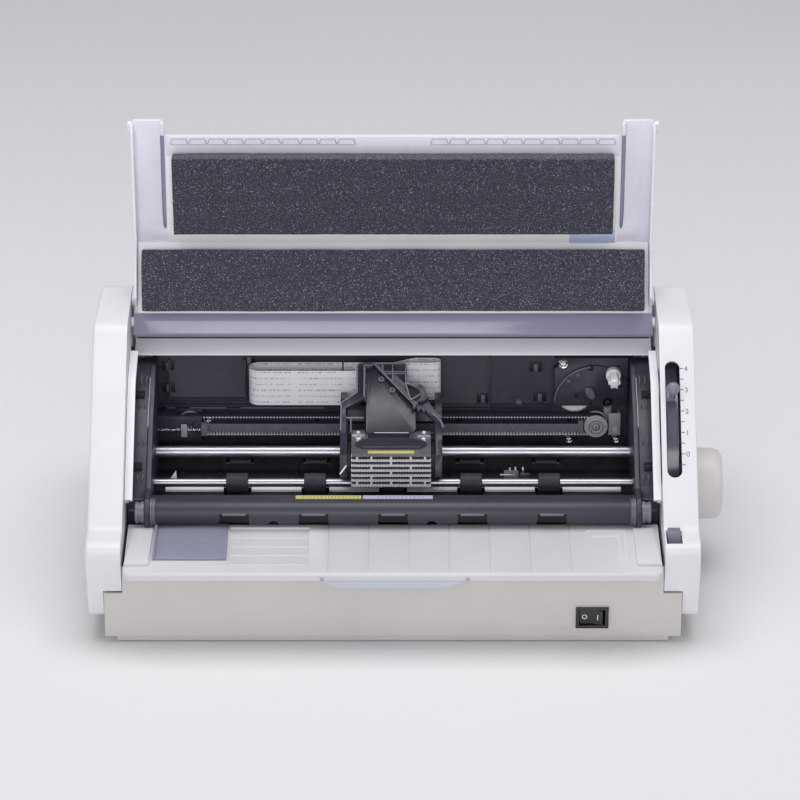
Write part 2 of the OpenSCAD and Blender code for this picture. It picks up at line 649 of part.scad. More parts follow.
module carriage_motor() color("dimgray") seat() difference() {
    rod_y_axis(rear_frame_y + 3, rear_frame_y + 33, drive_pulley_x, belt_z + 6, 18);
    rod_y_axis(rear_frame_y + 2, rear_frame_y + 12, drive_pulley_x, belt_z, 2 + run);
}

module pulley(x, y0, y1) {
    rod_y_axis(belt_y - belt_w / 2 - 0.3 - flange_t, belt_y + belt_w / 2 + 0.3 + flange_t, x, belt_z,
        belt_r - belt_t / 2 - 0.2);
    rod_y_axis(belt_y - belt_w / 2 - 0.3 - flange_t, belt_y - belt_w / 2 - 0.3, x, belt_z, flange_r);
    rod_y_axis(belt_y + belt_w / 2 + 0.3, belt_y + belt_w / 2 + 0.3 + flange_t, x, belt_z, flange_r);
    rod_y_axis(y0, y1, x, belt_z, 2);
}

module drive_pulley() color("gainsboro") seat() pulley(drive_pulley_x, belt_y - 5.5, rear_frame_y + 11);

module idler_pulley() color("gainsboro") seat() pulley(idler_pulley_x, belt_y - 5.5, rear_frame_y - 1.5);

// Holder of the idler pulley: a cap in front, a block behind and a bridge at the end
module belt_tensioner() color("darkslategray") seat() difference() {
    union() {
        box([-frame_x, belt_y - 7.5, belt_z - 9], [idler_pulley_x + 8, belt_y - 4.8, belt_z + 9]);
        box([-frame_x, belt_y - 7.5, belt_z - 9], [idler_pulley_x - flange_r - 1, rear_frame_y, belt_z + 9]);
        box([-frame_x, belt_y + 4.8, belt_z - 9], [idler_pulley_x + 8, rear_frame_y, belt_z + 9]);
    }
    rod_y_axis(belt_y - 9, rear_frame_y + 1, idler_pulley_x, belt_z, 2 + run);
}

module belt_outline(r) hull() for (x = [idler_pulley_x, drive_pulley_x]) translate([x, belt_z]) circle(r = r);

module carriage_belt() color("black") seat() translate([0, belt_y + belt_w / 2, 0]) rotate([90, 0, 0])
    linear_extrude(belt_w) difference() {
        belt_outline(belt_r + belt_t / 2);
        belt_outline(belt_r - belt_t / 2);
    }

module encoder_strip() color("gray") seat() union() {
    box([idler_pulley_x + 9, encoder_y - 0.2, belt_z - 2.6], [drive_pulley_x - 9, encoder_y + 0.2, belt_z + 2.6]);
    // hook plate at each end
    box([idler_pulley_x + 8, encoder_y - 5, belt_z - 4], [idler_pulley_x + 12, encoder_y - 0.1, belt_z + 4]);
    box([drive_pulley_x - 12, encoder_y - 1, belt_z - 4], [drive_pulley_x - 8.6, rear_frame_y, belt_z + 4]);
}

module encoder_spring() color("silver") seat()
    rod_x(-frame_x, idler_pulley_x + 8, encoder_y - 3.7, belt_z, 1.2);

// ---- Carriage ----

// Plane of the ribbon film: X across, Y up the slope, Z off its face
module film_plane() translate([0, film_low.x, film_low.y]) rotate([film_slope, 0, 0]) children();

module carriage_frame() color("darkslategray") seat() translate([carriage_x, 0, 0]) difference() {
    union() {
        for (s = [-1, 1]) scale([s, 1, 1]) along_x(carriage_w / 2 - cheek_t, carriage_w / 2) polygon(cheek);
        box([-carriage_w / 2 + 1, 130, 96], [carriage_w / 2 - 1, 137, 104]);
        film_plane() linear_extrude(3.5) polygon(arm_outline);
        film_plane() translate([0, 0, -2.5]) linear_extrude(4.5) difference() {
            polygon(bracket_outline);
            translate([-3, 43]) square([3.4, 5]);
        }
        box([-carriage_w / 2 + 1, 108, 84], [carriage_w / 2 - 1, 114, 90]);
        // arm and jaws that hold the belt's upper run
        box([-6, 134, belt_z + 9], [6, belt_y + belt_w / 2 + 0.9, belt_z + 12.5]);
        box([-6, belt_y - belt_w / 2, belt_z + 4], [6, belt_y + belt_w / 2 + 0.9, belt_z + 12]);
    }
    box([-7, belt_y - 5, belt_z + belt_r - belt_t / 2 - 0.3],
        [7, belt_y + belt_w / 2 + 0.3, belt_z + belt_r + belt_t / 2 + 0.3]);
    rod_x(-carriage_w, carriage_w, rod_y, rod_z, rod_r + bush_wall);
    // lightening windows in the cheeks
    rod_x(-carriage_w, carriage_w, 124, 106, 6);
}

module carriage_bushings() color("goldenrod") seat() translate([carriage_x, 0, 0]) for (s = [-1, 1]) scale([s, 1, 1])
    difference() {
        rod_x(carriage_w / 2 - 12, carriage_w / 2, rod_y, rod_z, rod_r + bush_wall);
        rod_x(carriage_w / 2 - 13, carriage_w / 2 + 1, rod_y, rod_z, rod_r + run);
    }

module head_fins() color("lightgray") seat() translate([carriage_x, 0, 0]) union() {
    for (i = [0 : fin_n - 1]) box([-head_w / 2, head_y, head_z + i * fin_pitch],
        [head_w / 2, head_y + head_d - 6, head_z + i * fin_pitch + fin_t]);
    box([-head_w / 2 + 8, head_y + 7, head_z], [head_w / 2 - 8, head_y + head_d - 10, head_top - 1]);
    box([-head_w / 2, head_y, head_top - head_plate_t], [head_w / 2, head_y + head_d, head_top]);
}

module print_head() color("dimgray") seat() translate([carriage_x, 0, 0]) union() {
    box([-carriage_w / 2 + cheek_t, head_y + head_d - 6, head_z], [carriage_w / 2 - cheek_t, 108, head_top - head_plate_t]);
    // nose down to the ribbon
    along_x(-10, 10) polygon([[nose_y + 1, head_z + eps], [nose_y + 2, paper_z + 1], [nose_y + 6, paper_z + 1],
        [108, head_z + eps]]);
}

module ribbon_mask() color("black") seat() translate([carriage_x, 0, 0]) union() {
    translate([0, head_y + 15, head_top]) linear_extrude(1.6) hull() for (s = [-1, 1]) translate([s * 14, 0]) circle(r = 8, $fn = 30);
    film_plane() translate([0, 0, -film_t]) linear_extrude(film_t) polygon(film_outline);
    box([-16, head_y + 20, head_top], [13, film_low.x + 1, head_top + 1.6]);
}

// Two flat cables from the rear frame to the carriage
module carriage_cables() color("white") seat() union() {
    flat_cable(60 - frame_x, carriage_x - carriage_w / 2 - 0.3, 140, rear_frame_y - 0.1, 102.8, rear_frame_h - 5.3);
    flat_cable(10, 33, 146.5, rear_frame_y - 0.1, 106, rear_frame_h - 2);
}

module flat_cable(x0, x1, y0, y1, z0, z1) translate([0, 0, z0]) linear_extrude(z1 - z0) difference() {
    translate([x0, y0]) square([x1 - x0, y1 - y0]);
    translate([x0 + 0.5, y0 + 0.5]) square([x1 - x0, y1 - y0 - 1]);
}

// ---- Ribbon drive ----

module ribbon_gearbox() color("darkslategray") seat() difference() {
    translate([0, rear_frame_y, 0]) rotate([90, 0, 0]) union() {
        linear_extrude(6) difference() {
            polygon([[frame_x - 50, rear_frame_h - 1], [frame_x - 1, rear_frame_h - 1], [frame_x - 1, 98], [frame_x - 49, 97]]);
            translate([frame_x - 51, 128]) circle(r = 4);
        }
        // raised cover and its oval hub
        linear_extrude(8) intersection() {
            translate([frame_x - 23, 100]) circle(r = 27);
            translate([frame_x - 53, 98]) square([52, 33]);
        }
        linear_extrude(10) translate([frame_x - 26, 108]) scale([0.8, 1.1]) circle(r = 4, $fn = 30);
    }
    translate([0, rear_frame_y, 0]) rotate([90, 0, 0]) translate([spindle.x, spindle.y, -1]) cylinder(r = 2 + run, h = 20);
    // pocket and bearing of the ribbon gear
    rod_y_axis(rear_frame_y - 5.4, rear_frame_y - 2.6, ribbon_gear_at.x, ribbon_gear_at.y, ribbon_gear_r + 0.5);
    rod_y_axis(rear_frame_y - 6.5, rear_frame_y - 1, ribbon_gear_at.x, ribbon_gear_at.y, 1.5 + run);
}

module ribbon_gear() color("white") seat() union() {
    rod_y_axis(rear_frame_y - 5, rear_frame_y - 3, ribbon_gear_at.x, ribbon_gear_at.y, ribbon_gear_r);
    rod_y_axis(rear_frame_y - 6.4, rear_frame_y - 1.2, ribbon_gear_at.x, ribbon_gear_at.y, 1.5);
}

module ribbon_spindle() color("white") seat() union() {
    rod_y_axis(rear_frame_y - 14, rear_frame_y - 8.3, spindle.x, spindle.y, 5);
    rod_y_axis(rear_frame_y - 26, rear_frame_y - 13, spindle.x, spindle.y, 3.2);
    for (a = [0 : 60 : 300]) translate([spindle.x, 0, spindle.y]) rotate([0, a, 0])
        box([-0.6, rear_frame_y - 25, 0], [0.6, rear_frame_y - 13, 4]);
    rod_y_axis(rear_frame_y - 14, rear_frame_y + 4, spindle.x, spindle.y, 2);
}

module corner_bracket() color("lightgray") seat() union() {
    box([frame_x - 13, rear_frame_y - 7.5, 76], [frame_x - 5, rear_frame_y - 6, 92]);
    box([frame_x - 7, rear_frame_y - 7.5, 76], [frame_x - 5, rear_frame_y, 92]);
}

// ---- Controls ----

module gap_lever() color("slategray") seat() difference() {
    union() {
        translate([0, rod_y, rod_z]) rotate([gap_angle - 90, 0, 0]) {
            along_x(inner_x + 4, inner_x + 6.5) polygon([[-7, 0], [7, 0], [3, gap_lever_r - 9], [-3, gap_lever_r - 9]]);
            box([inner_x + 4, -3, gap_lever_r - 12], [slot_x + 1.5, 3, gap_lever_r - 9]);
            translate([slot_x, 0, gap_lever_r - 12]) cylinder(r = 2, h = 12);
            translate([slot_x, 0, gap_lever_r]) sphere(r = slot_w / 2 - 0.6);
        }
        rod_x(inner_x - 1, inner_x + 6.5, rod_y, rod_z, 7);
    }
    rod_x(inner_x - 9, inner_x + 8, rod_y, rod_z, rod_r - 1 + run);
}

module release_lever() color("slategray") seat() union() {
    box([release_x - 4, 8.5, 62], [release_x + 4, 16, 74.5]);
    box([release_x - 3, 7, 66.5], [release_x + 8, 18, 68]);
    for (i = [0 : 2]) box([release_x - 4, 8.7 + i * 2.6, 74.4], [release_x + 4, 10 + i * 2.6, 75.4]);
}

module switch_body() color("black") seat() difference() {
    union() {
        box([switch_x - switch_w / 2, -1.4, switch_z - switch_h / 2], [switch_x + switch_w / 2, 0, switch_z + switch_h / 2]);
        box([switch_x - switch_w / 2 + 1.3, -0.5, switch_z - switch_h / 2 + 1.3],
            [switch_x + switch_w / 2 - 1.3, 18, switch_z + switch_h / 2 - 1.3]);
    }
    box([switch_x - switch_w / 2 + 2.2, -2, switch_z - switch_h / 2 + 2], [switch_x + switch_w / 2 - 2.2, 9, switch_z + switch_h / 2 - 2]);
}

module power_rocker() color("black") seat() translate([switch_x, 4, switch_z]) rotate([0, 0, -8]) union() {
    linear_extrude(switch_h - 5, center = true)
            polygon([[-7.4, -4.6], [-1, -3.6], [1, -3.6], [7.4, -4.6], [7.4, -2], [2.5, 3.5], [-2.5, 3.5], [-7.4, -2]]);
    cylinder(r = 1.6, h = switch_h - 4.4, center = true);
}

module paper_guide() color("lightsteelblue") seat()
    translate([0, -table_reach, table_z]) rotate([table_slope, 0, 0]) union() {
        box([-152, 17, 0.3], [-106, table_d - 1, 1.5]);
        box([-153, 17, 0.3], [-151.5, table_d - 8, 5]);
    }

// ---- Electronics ----

module main_board() color("darkgreen") seat() union() {
    box([-60, 168, 16], [145, body_d - 12, 17.6]);
    for (x = [-40, 0, 40]) box([x, 180, 17.5], [x + 22, 202, 20]);
    box([97, body_d - 24, 17.5], [133, body_d - wall, 27]);
    for (x = [-55, 140], y = [172, body_d - 16]) translate([x, y, floor_z]) cylinder(r = 3, h = 8.5);
}

module power_supply() color("silver") seat() union() {
    box([-150, 168, floor_z], [-72, body_d - 12, 50]);
    box([-139, body_d - 20, 15], [-113, body_d - wall, 33]);
}

module screws() color("silver") seat() {
    for (p = [[frame_x - 44, 128, 8], [frame_x - 14, 100.5, 10], [33 - frame_x, 84, 2], [frame_x - 39, 70.5, 2],
        [frame_x - 7.7, 70.5, 2]])
        rod_y_axis(rear_frame_y - p.z, rear_frame_y - p.z + 2, p.x, p.y, 3);
}

lower_case();
upper_case();
left_side_casing();
right_side_casing();
front_table();
pull_out_support();
rubber_feet();
lid_shell();
lid_panel();
lid_front_foam();
lid_rear_foam();
tear_strip();
hinge_bar();
left_frame();
right_frame();
rear_frame();
paper_deck();
steel_guide_plate();
platen_bar();
guide_bar();
scale_strips();
carriage_rod();
idler_shaft();
idler_rollers();
front_feed_shaft();
front_feed_rollers();
rear_feed_shaft();
rear_feed_rollers();
rear_pinch_rollers();
front_feed_gear();
rear_feed_gear();
knob_gear();
paper_knob();
feed_motor();
motor_pinion();
carriage_motor();
drive_pulley();
idler_pulley();
belt_tensioner();
carriage_belt();
encoder_strip();
encoder_spring();
carriage_frame();
carriage_bushings();
print_head();
head_fins();
ribbon_mask();
carriage_cables();
ribbon_gearbox();
ribbon_gear();
ribbon_spindle();
corner_bracket();
gap_lever();
release_lever();
power_rocker();
switch_body();
paper_guide();
main_board();
power_supply();
screws();
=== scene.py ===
"""Looks of a flatbed dot matrix printer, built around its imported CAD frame."""
import json
import math

import bmesh
import bpy
from mathutils import Matrix, Vector, noise

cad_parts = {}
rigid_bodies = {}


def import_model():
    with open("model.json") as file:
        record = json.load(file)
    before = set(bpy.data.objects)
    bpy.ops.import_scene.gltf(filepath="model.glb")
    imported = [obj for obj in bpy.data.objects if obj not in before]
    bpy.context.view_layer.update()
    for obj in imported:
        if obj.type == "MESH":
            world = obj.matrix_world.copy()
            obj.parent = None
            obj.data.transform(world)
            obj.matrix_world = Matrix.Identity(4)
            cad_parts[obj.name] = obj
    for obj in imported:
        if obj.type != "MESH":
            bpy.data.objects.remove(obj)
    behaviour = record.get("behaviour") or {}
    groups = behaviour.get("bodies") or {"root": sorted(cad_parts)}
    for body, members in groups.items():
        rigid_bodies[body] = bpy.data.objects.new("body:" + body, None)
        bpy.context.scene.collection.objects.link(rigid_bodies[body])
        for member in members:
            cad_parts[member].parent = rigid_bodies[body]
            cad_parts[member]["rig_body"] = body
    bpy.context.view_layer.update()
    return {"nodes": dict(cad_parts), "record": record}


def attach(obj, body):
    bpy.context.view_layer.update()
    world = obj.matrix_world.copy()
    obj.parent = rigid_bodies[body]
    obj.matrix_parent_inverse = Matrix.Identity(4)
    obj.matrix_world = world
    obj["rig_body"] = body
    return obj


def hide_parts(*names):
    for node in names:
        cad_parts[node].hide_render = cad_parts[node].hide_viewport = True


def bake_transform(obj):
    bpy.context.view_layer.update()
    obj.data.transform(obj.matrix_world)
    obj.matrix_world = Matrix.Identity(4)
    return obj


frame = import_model()
noise.seed_set(5)       # without a seed, Blender starts this noise from the clock
nodes = frame["nodes"]
slot_of = {s["node"]: s["material_slot"] for s in frame["record"]["subparts"]}

# Drawing coordinates: millimetres, X from the middle of the body, Y from the front panel, Z up
SEAT = Vector((-11.0, -118.0, 0.0))
MM = 0.001


def at(point):
    """A drawing point in the row frame, in metres."""
    return (Vector(point) + SEAT) * MM


# ---- Finishes ----

def linear(r, g, b):
    """A colour given as 0 to 255, in the renderer's linear values."""
    return tuple(c / 12.92 if c <= 0.04045 else ((c + 0.055) / 1.055) ** 2.4
                 for c in (r / 255, g / 255, b / 255))


class Tree:
    """A material's node tree with short ways to add and join nodes."""

    def __init__(self, name):
        self.material = bpy.data.materials.new(name)
        self.material.use_nodes = True
        self.nodes = self.material.node_tree.nodes
        self.links = self.material.node_tree.links
        self.shader = self.nodes["Principled BSDF"]

    def add(self, kind, _inputs=None, **settings):
        node = self.nodes.new(kind)
        for key, value in settings.items():
            setattr(node, key, value)
        for key, value in (_inputs or {}).items():
            self.feed(node.inputs[key], value)
        return node

    def feed(self, socket, value):
        """Links a socket to another node's output, or gives it a plain value."""
        if isinstance(value, bpy.types.NodeSocket):
            self.links.new(value, socket)
        else:
            socket.default_value = value

    def to(self, socket, value):
        self.feed(self.shader.inputs[socket], value)

    def coordinates(self, stretch=(1, 1, 1)):
        found = self.add("ShaderNodeTexCoord").outputs["Object"]
        if stretch == (1, 1, 1):
            return found
        return self.add("ShaderNodeMapping", {"Vector": found, "Scale": stretch}).outputs[0]

    def noise(self, vector, size_mm, detail=2.0):
        return self.add("ShaderNodeTexNoise", {"Vector": vector, "Scale": 1000 / size_mm,
                                               "Detail": detail}).outputs[0]

    def remap(self, value, lo, hi, new_lo, new_hi):
        return self.add("ShaderNodeMapRange", {0: value, 1: lo, 2: hi, 3: new_lo, 4: new_hi}).outputs[0]

    def spread(self, value, lo=0, hi=1):
        """Noise lies mostly between 0.3 and 0.7: this draws it out between two values."""
        return self.remap(value, 0.3, 0.7, lo, hi)

    def math(self, operation, a, b=0.0):
        return self.add("ShaderNodeMath", {0: a, 1: b}, operation=operation).outputs[0]

    def blend(self, factor, a, b):
        mixed = self.add("ShaderNodeMix", {0: factor}, data_type="RGBA")
        for socket, value in ((6, a), (7, b)):
            linked = isinstance(value, bpy.types.NodeSocket)
            self.feed(mixed.inputs[socket], value if linked else (*value[:3], 1))
        return mixed.outputs[2]

    def bump(self, height, depth_mm):
        node = self.add("ShaderNodeBump", {"Height": height, "Distance": depth_mm * MM, "Strength": 1.0})
        self.to("Normal", node.outputs[0])


def shade(colour, factor):
    """A colour made lighter or darker by a factor."""
    return tuple(min(1.0, c * factor) for c in colour)


def plastic(name, rgb, rough=0.45, mottle=0.03, grain_mm=0.5, depth_mm=0.01, coat=0.0, see_through=0.0,
            wear=0.0):
    """Moulded plastic: a fine eroded grain, a slow drift of shade and a slightly uneven gloss."""
    t = Tree(name)
    colour = linear(*rgb)
    place = t.coordinates()
    drift = t.spread(t.noise(place, 60))
    tint = t.blend(drift, shade(colour, 1 - mottle), shade(colour, 1 + mottle))
    if wear:
        dust = t.remap(t.noise(place, 7, 6), 0.52, 0.78, 0, wear)
        tint = t.blend(dust, tint, shade(colour, 2.6))
    t.to("Base Color", tint)
    t.to("Roughness", t.spread(t.noise(place, 9, 3), rough - 0.05, rough + 0.05))
    t.bump(t.noise(place, grain_mm), depth_mm)
    t.to("Coat Weight", coat)
    t.to("Coat Roughness", 0.12)
    t.to("Transmission Weight", see_through)
    t.to("IOR", 1.49)
    return t.material


def metal(name, rgb, rough=0.25, brush=(1, 1, 1), brush_mm=0.4, depth_mm=0.004, mottle=0.06):
    """Metal with fine tool marks, drawn out along the axis whose stretch is smallest."""
    t = Tree(name)
    colour = linear(*rgb)
    marks = t.coordinates(brush)
    lines = t.noise(marks, brush_mm, 3)
    t.to("Base Color", t.blend(t.spread(lines), shade(colour, 1 - mottle), shade(colour, 1 + mottle)))
    t.to("Metallic", 1.0)
    t.to("Roughness", t.spread(t.noise(t.coordinates(), 12, 4), rough - 0.05, rough + 0.07))
    if depth_mm:
        t.bump(lines, depth_mm)
    return t.material


def rubber(name, rgb, rough=0.75, grain_mm=0.35, depth_mm=0.02):
    """Dull rubber with a fine grain and paler dust in patches."""
    t = Tree(name)
    colour = linear(*rgb)
    place = t.coordinates()
    dust = t.remap(t.noise(place, 4, 5), 0.45, 0.75, 0, 0.5)
    t.to("Base Color", t.blend(dust, colour, shade(colour, 1.9)))
    t.to("Roughness", t.spread(t.noise(place, 6), rough - 0.08, rough + 0.08))
    t.bump(t.noise(place, grain_mm), depth_mm)
    t.to("Specular IOR Level", 0.35)
    return t.material


def foam(name, rgb, speck_rgb):
    """Open-cell foam: dark pores, lit cell walls and scattered bright struts."""
    t = Tree(name)
    place = t.coordinates()
    cells = t.add("ShaderNodeTexVoronoi", {"Vector": place, "Scale": 1000 / 0.95, "Randomness": 1.0},
                  feature="F1")
    walls = t.remap(cells.outputs["Distance"], 0.15, 0.75, 0, 1)
    base = t.blend(walls, shade(linear(*rgb), 0.5), shade(linear(*rgb), 1.55))
    flecks = t.remap(t.noise(place, 0.75, 1), 0.60, 0.76, 0, 1)
    t.to("Base Color", t.blend(flecks, base, linear(*speck_rgb)))
    t.to("Roughness", 0.95)
    t.to("Specular IOR Level", 0.2)
    t.to("Sheen Weight", 0.25)
    t.to("Sheen Roughness", 0.6)
    t.bump(t.math("ADD", walls, t.noise(place, 3)), 0.25)
    return t.material


def cable_film(name):
    """White flat cable with rows of faint grey printing that has no readable marks. UV is in millimetres."""
    t = Tree(name)
    uv = t.add("ShaderNodeUVMap", uv_map="along").outputs[0]
    parts = t.add("ShaderNodeSeparateXYZ", {0: uv})
    u, v = parts.outputs[0], parts.outputs[1]
    row = t.math("LESS_THAN", t.math("ABSOLUTE", t.math("SUBTRACT", t.math("FLOORED_MODULO", v, 4.3), 2.15)),
                 0.5)
    inner = t.math("GREATER_THAN", v, 1.0)
    group = t.math("LESS_THAN", t.math("FLOORED_MODULO", u, 34.0), 29.0)
    dots = t.add("ShaderNodeTexNoise",
                 {"Vector": t.add("ShaderNodeMapping", {"Vector": uv, "Scale": (1.3, 0.15, 1)}).outputs[0],
                  "Scale": 1.0, "Detail": 0.0}).outputs[0]
    strokes = t.remap(dots, 0.48, 0.54, 0, 1)
    ink = t.math("MULTIPLY", t.math("MULTIPLY", row, inner), t.math("MULTIPLY", group, strokes))
    t.to("Base Color", t.blend(t.math("MULTIPLY", ink, 0.62), linear(238, 238, 244), linear(120, 120, 130)))
    t.to("Roughness", 0.32)
    stripes = t.math("SINE", t.math("MULTIPLY", v, 5.0))
    t.bump(stripes, 0.02)
    return t.material


WHITE = plastic("casing_white_moulded", (228, 227, 232), 0.42)
GREY = plastic("lower_case_warm_grey", (206, 201, 199), 0.45)
TABLE_GREY = plastic("table_pale_grey", (213, 212, 216), 0.42)
CREAM = plastic("knob_cream", (222, 217, 216), 0.4)
LID = plastic("lid_lavender_gloss", (233, 232, 243), 0.26, coat=0.3, depth_mm=0.003)
BAR = plastic("hinge_bar_smoked_lavender", (166, 164, 190), 0.16, coat=0.6, depth_mm=0.002, see_through=0.25)
PANEL = plastic("lid_panel_white", (250, 250, 252), 0.4)
GUIDE = plastic("paper_guide_smoked", (172, 173, 194), 0.14, coat=0.4, depth_mm=0.002, see_through=0.35)
TAB = plastic("support_pale_blue", (196, 200, 216), 0.2, coat=0.3, depth_mm=0.002)
FOAM = foam("sound_foam_charcoal", (52, 52, 65), (166, 166, 184))
DARK = plastic("mechanism_charcoal", (52, 51, 65), 0.42, mottle=0.12, wear=0.25, grain_mm=0.8, depth_mm=0.02)
DEEP = plastic("mechanism_black", (24, 23, 29), 0.5, mottle=0.1, wear=0.12, grain_mm=0.8, depth_mm=0.02)
FILM = plastic("ribbon_film_charcoal", (52, 51, 61), 0.3, mottle=0.08, wear=0.1)
CHROME = metal("polished_shaft_steel", (186, 185, 194), 0.34, brush=(0.02, 1, 1), depth_mm=0, mottle=0.03)
SHEET = metal("bright_sheet_steel", (205, 205, 210), 0.2, brush=(0.03, 1, 1))
ALLOY = metal("die_cast_alloy", (186, 186, 192), 0.38, brush_mm=0.8, depth_mm=0.02)
FIN = plastic("fin_pale_cast_alloy", (226, 226, 230), 0.4, mottle=0.06, coat=0.3)
BRASS = metal("sintered_brass", (190, 152, 92), 0.34)
ZINC = metal("plated_screw", (222, 222, 226), 0.2)
BLACK_SCREW = metal("blackened_screw", (60, 60, 68), 0.35)
ROLLER = rubber("feed_roller_rubber", (50, 49, 57), 0.6)
FEET = rubber("foot_rubber", (40, 40, 44))
BELT = rubber("belt_rubber", (52, 51, 58))
TOOTH = plastic("belt_tooth_facing", (226, 226, 232), 0.45)
NYLON = plastic("gear_nylon_white", (236, 235, 236), 0.35, depth_mm=0.004)
DRIVE = plastic("pulley_grey_resin", (172, 171, 178), 0.35, depth_mm=0.004)
BRACKET = plastic("bracket_grey_resin", (158, 157, 164), 0.4, depth_mm=0.006)
LEVER = plastic("lever_slate", (132, 131, 147), 0.3, depth_mm=0.006)
SWITCH = plastic("switch_gloss_black", (24, 24, 28), 0.16, coat=0.5, depth_mm=0.002)
# White for printed marks, the paper flag and the wire hook, and for a painted highlight on the ribbon film's
# edge
WHITE_MARK_AND_HIGHLIGHT = plastic("white_marks_and_painted_highlight", (240, 240, 244), 0.4)
INK = plastic("printed_scale_grey", (112, 110, 124), 0.5)
YELLOW = plastic("scale_yellow", (206, 200, 118), 0.4)
STRIP = plastic("scale_lavender", (186, 185, 206), 0.4)
ENCODER = plastic("encoder_smoked_film", (112, 111, 125), 0.25, depth_mm=0.002)
# The steel guide plate is drawn as near-white plastic: its brightness is a painted reflection
PLATE = plastic("guide_plate_painted_reflection_white", (250, 250, 252), 0.35)
COLLAR = plastic("bar_collar_grey", (122, 121, 134), 0.35)
# A lighter copy of the casing white for the upper case: painted light that offsets the shade of the open lid
WHITE_PAINTED_LIGHTER = plastic("upper_case_white_painted_lighter", (246, 245, 249), 0.42)
GREY_DARK = plastic("step_shadow_grey", (168, 167, 172), 0.5)
# Blue-grey for the rims around the tear teeth: painted shading along their edges
TOOTH_EDGE_SHADE = plastic("tooth_edge_painted_shade_blue_grey", (176, 178, 196), 0.4)
BAR_DARK = plastic("guide_bar_grey", (60, 59, 71), 0.42, mottle=0.08)
# A lighter copy of the mechanism charcoal for raised ribs, rims and edges: painted light where those edges
# catch the lamps
DARK_LIT = plastic("mechanism_charcoal_painted_lit", (104, 102, 114), 0.4, mottle=0.1)
# Near-black for holes, sockets, gaps and the spaces between fins: painted shadow where the real parts show
# only shade
SHADOW_BLACK = plastic("painted_shadow_black", (14, 14, 18), 0.7)
SHIELD = plastic("dust_shield_slate", (92, 91, 108), 0.2, coat=0.4, depth_mm=0.003)
BOARD = plastic("board_green_mask", (22, 74, 48), 0.35)
CHIP = plastic("component_black", (36, 36, 40), 0.4)
CABLE = cable_film("flat_cable_white")
PATCH = plastic("clear_patch_blue", (190, 202, 232), 0.15, coat=0.4, depth_mm=0.002)


# ---- Ways of making pieces ----

def add_object(name, data):
    """A new object in the scene."""
    obj = bpy.data.objects.new(name, data)
    bpy.context.scene.collection.objects.link(obj)
    return obj


def finished_mesh(obj):
    """The plain mesh that an object's modifiers make."""
    dg = bpy.context.evaluated_depsgraph_get()
    dg.update()
    return bpy.data.meshes.new_from_object(obj.evaluated_get(dg), preserve_all_data_layers=True, depsgraph=dg)


def crease(mesh, degrees=35):
    """Shades a mesh smooth, apart from edges sharper than an angle."""
    mesh.shade_smooth()
    mesh.set_sharp_from_angle(angle=math.radians(degrees))


def thing(verts, faces, finish, name="part"):
    """A mesh from drawing points."""
    mesh = bpy.data.meshes.new(name)
    mesh.from_pydata([at(v) for v in verts], [], faces)
    mesh.validate()
    mesh.materials.append(finish)
    return add_object(name, mesh)


def outwards(obj):
    """Merges doubles and points every face outwards."""
    bm = bmesh.new()
    bm.from_mesh(obj.data)
    bmesh.ops.remove_doubles(bm, verts=bm.verts, dist=1e-6)
    bmesh.ops.recalc_face_normals(bm, faces=bm.faces)
    bm.to_mesh(obj.data)
    bm.free()
    return obj


def settle(obj, degrees=35):
    """Applies the modifiers and shades the mesh smooth, with creases above an angle."""
    mesh = finished_mesh(obj)
    old = obj.data
    obj.modifiers.clear()
    obj.data = mesh
    if old.users == 0:
        bpy.data.meshes.remove(old)
    crease(mesh, degrees)
    return obj


def cut_away(obj, cutter, degrees=35):
    """Takes a cutter's shape out of a piece and uses the cutter up."""
    take = obj.modifiers.new("cut", "BOOLEAN")
    take.object = cutter
    take.operation = "DIFFERENCE"
    take.solver = "EXACT"
    settle(obj, degrees)
    bpy.data.objects.remove(cutter)
    return obj


def soften(obj, edge, segments=2):
    """Rounds the edges by a radius in millimetres."""
    if edge:
        bevel = obj.modifiers.new("edge", "BEVEL")
        bevel.width = edge * MM
        bevel.segments = segments
        bevel.limit_method = "ANGLE"
        bevel.angle_limit = math.radians(30)
    return settle(obj)


def joined(pieces):
    """Several meshes as one, each part keeping its finish."""
    bm = bmesh.new()
    finishes = []
    for piece in pieces:
        index = []
        for m in piece.data.materials:
            if m not in finishes:
                finishes.append(m)
            index.append(finishes.index(m))
        count = len(bm.faces)
        bm.from_mesh(piece.data)
        bm.faces.ensure_lookup_table()
        for f in bm.faces[count:]:
            f.material_index = index[f.material_index] if index else 0
    mesh = bpy.data.meshes.new("part")
    bm.to_mesh(mesh)
    bm.free()
    for m in finishes:
        mesh.materials.append(m)
    obj = add_object("part", mesh)
    for piece in pieces:
        bpy.data.objects.remove(piece)
    return obj


def keep(name, made, body, slot, *stands_for):
    """A mesh, or a list of them as one piece, moves with a body and may stand for CAD nodes."""
    obj = joined(made) if isinstance(made, list) else made
    obj.name = name
    obj.data.name = name
    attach(obj, body)
    if stands_for:
        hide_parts(*stands_for)
    return obj


def prism(axis, lo, hi, outline, finish, edge=0.3, segments=2):
    """An outline pushed along an axis: (Y, Z) along x, (X, Z) along y or (X, Y) along z."""
    def lift(p, h):
        return {"x": (h, p[0], p[1]), "y": (p[0], h, p[1]), "z": (p[0], p[1], h)}[axis]
    n = len(outline)
    verts = [lift(p, lo) for p in outline] + [lift(p, hi) for p in outline]
    faces = [list(range(n))[::-1], list(range(n, 2 * n))]
    faces += [[i, (i + 1) % n, n + (i + 1) % n, n + i] for i in range(n)]
    return soften(outwards(thing(verts, faces, finish)), edge, segments)


def block(a, b, finish, edge=0.3, segments=2):
    """A box between two corners."""
    outline = [(a[1], a[2]), (b[1], a[2]), (b[1], b[2]), (a[1], b[2])]
    return prism("x", a[0], b[0], outline, finish, edge, segments)


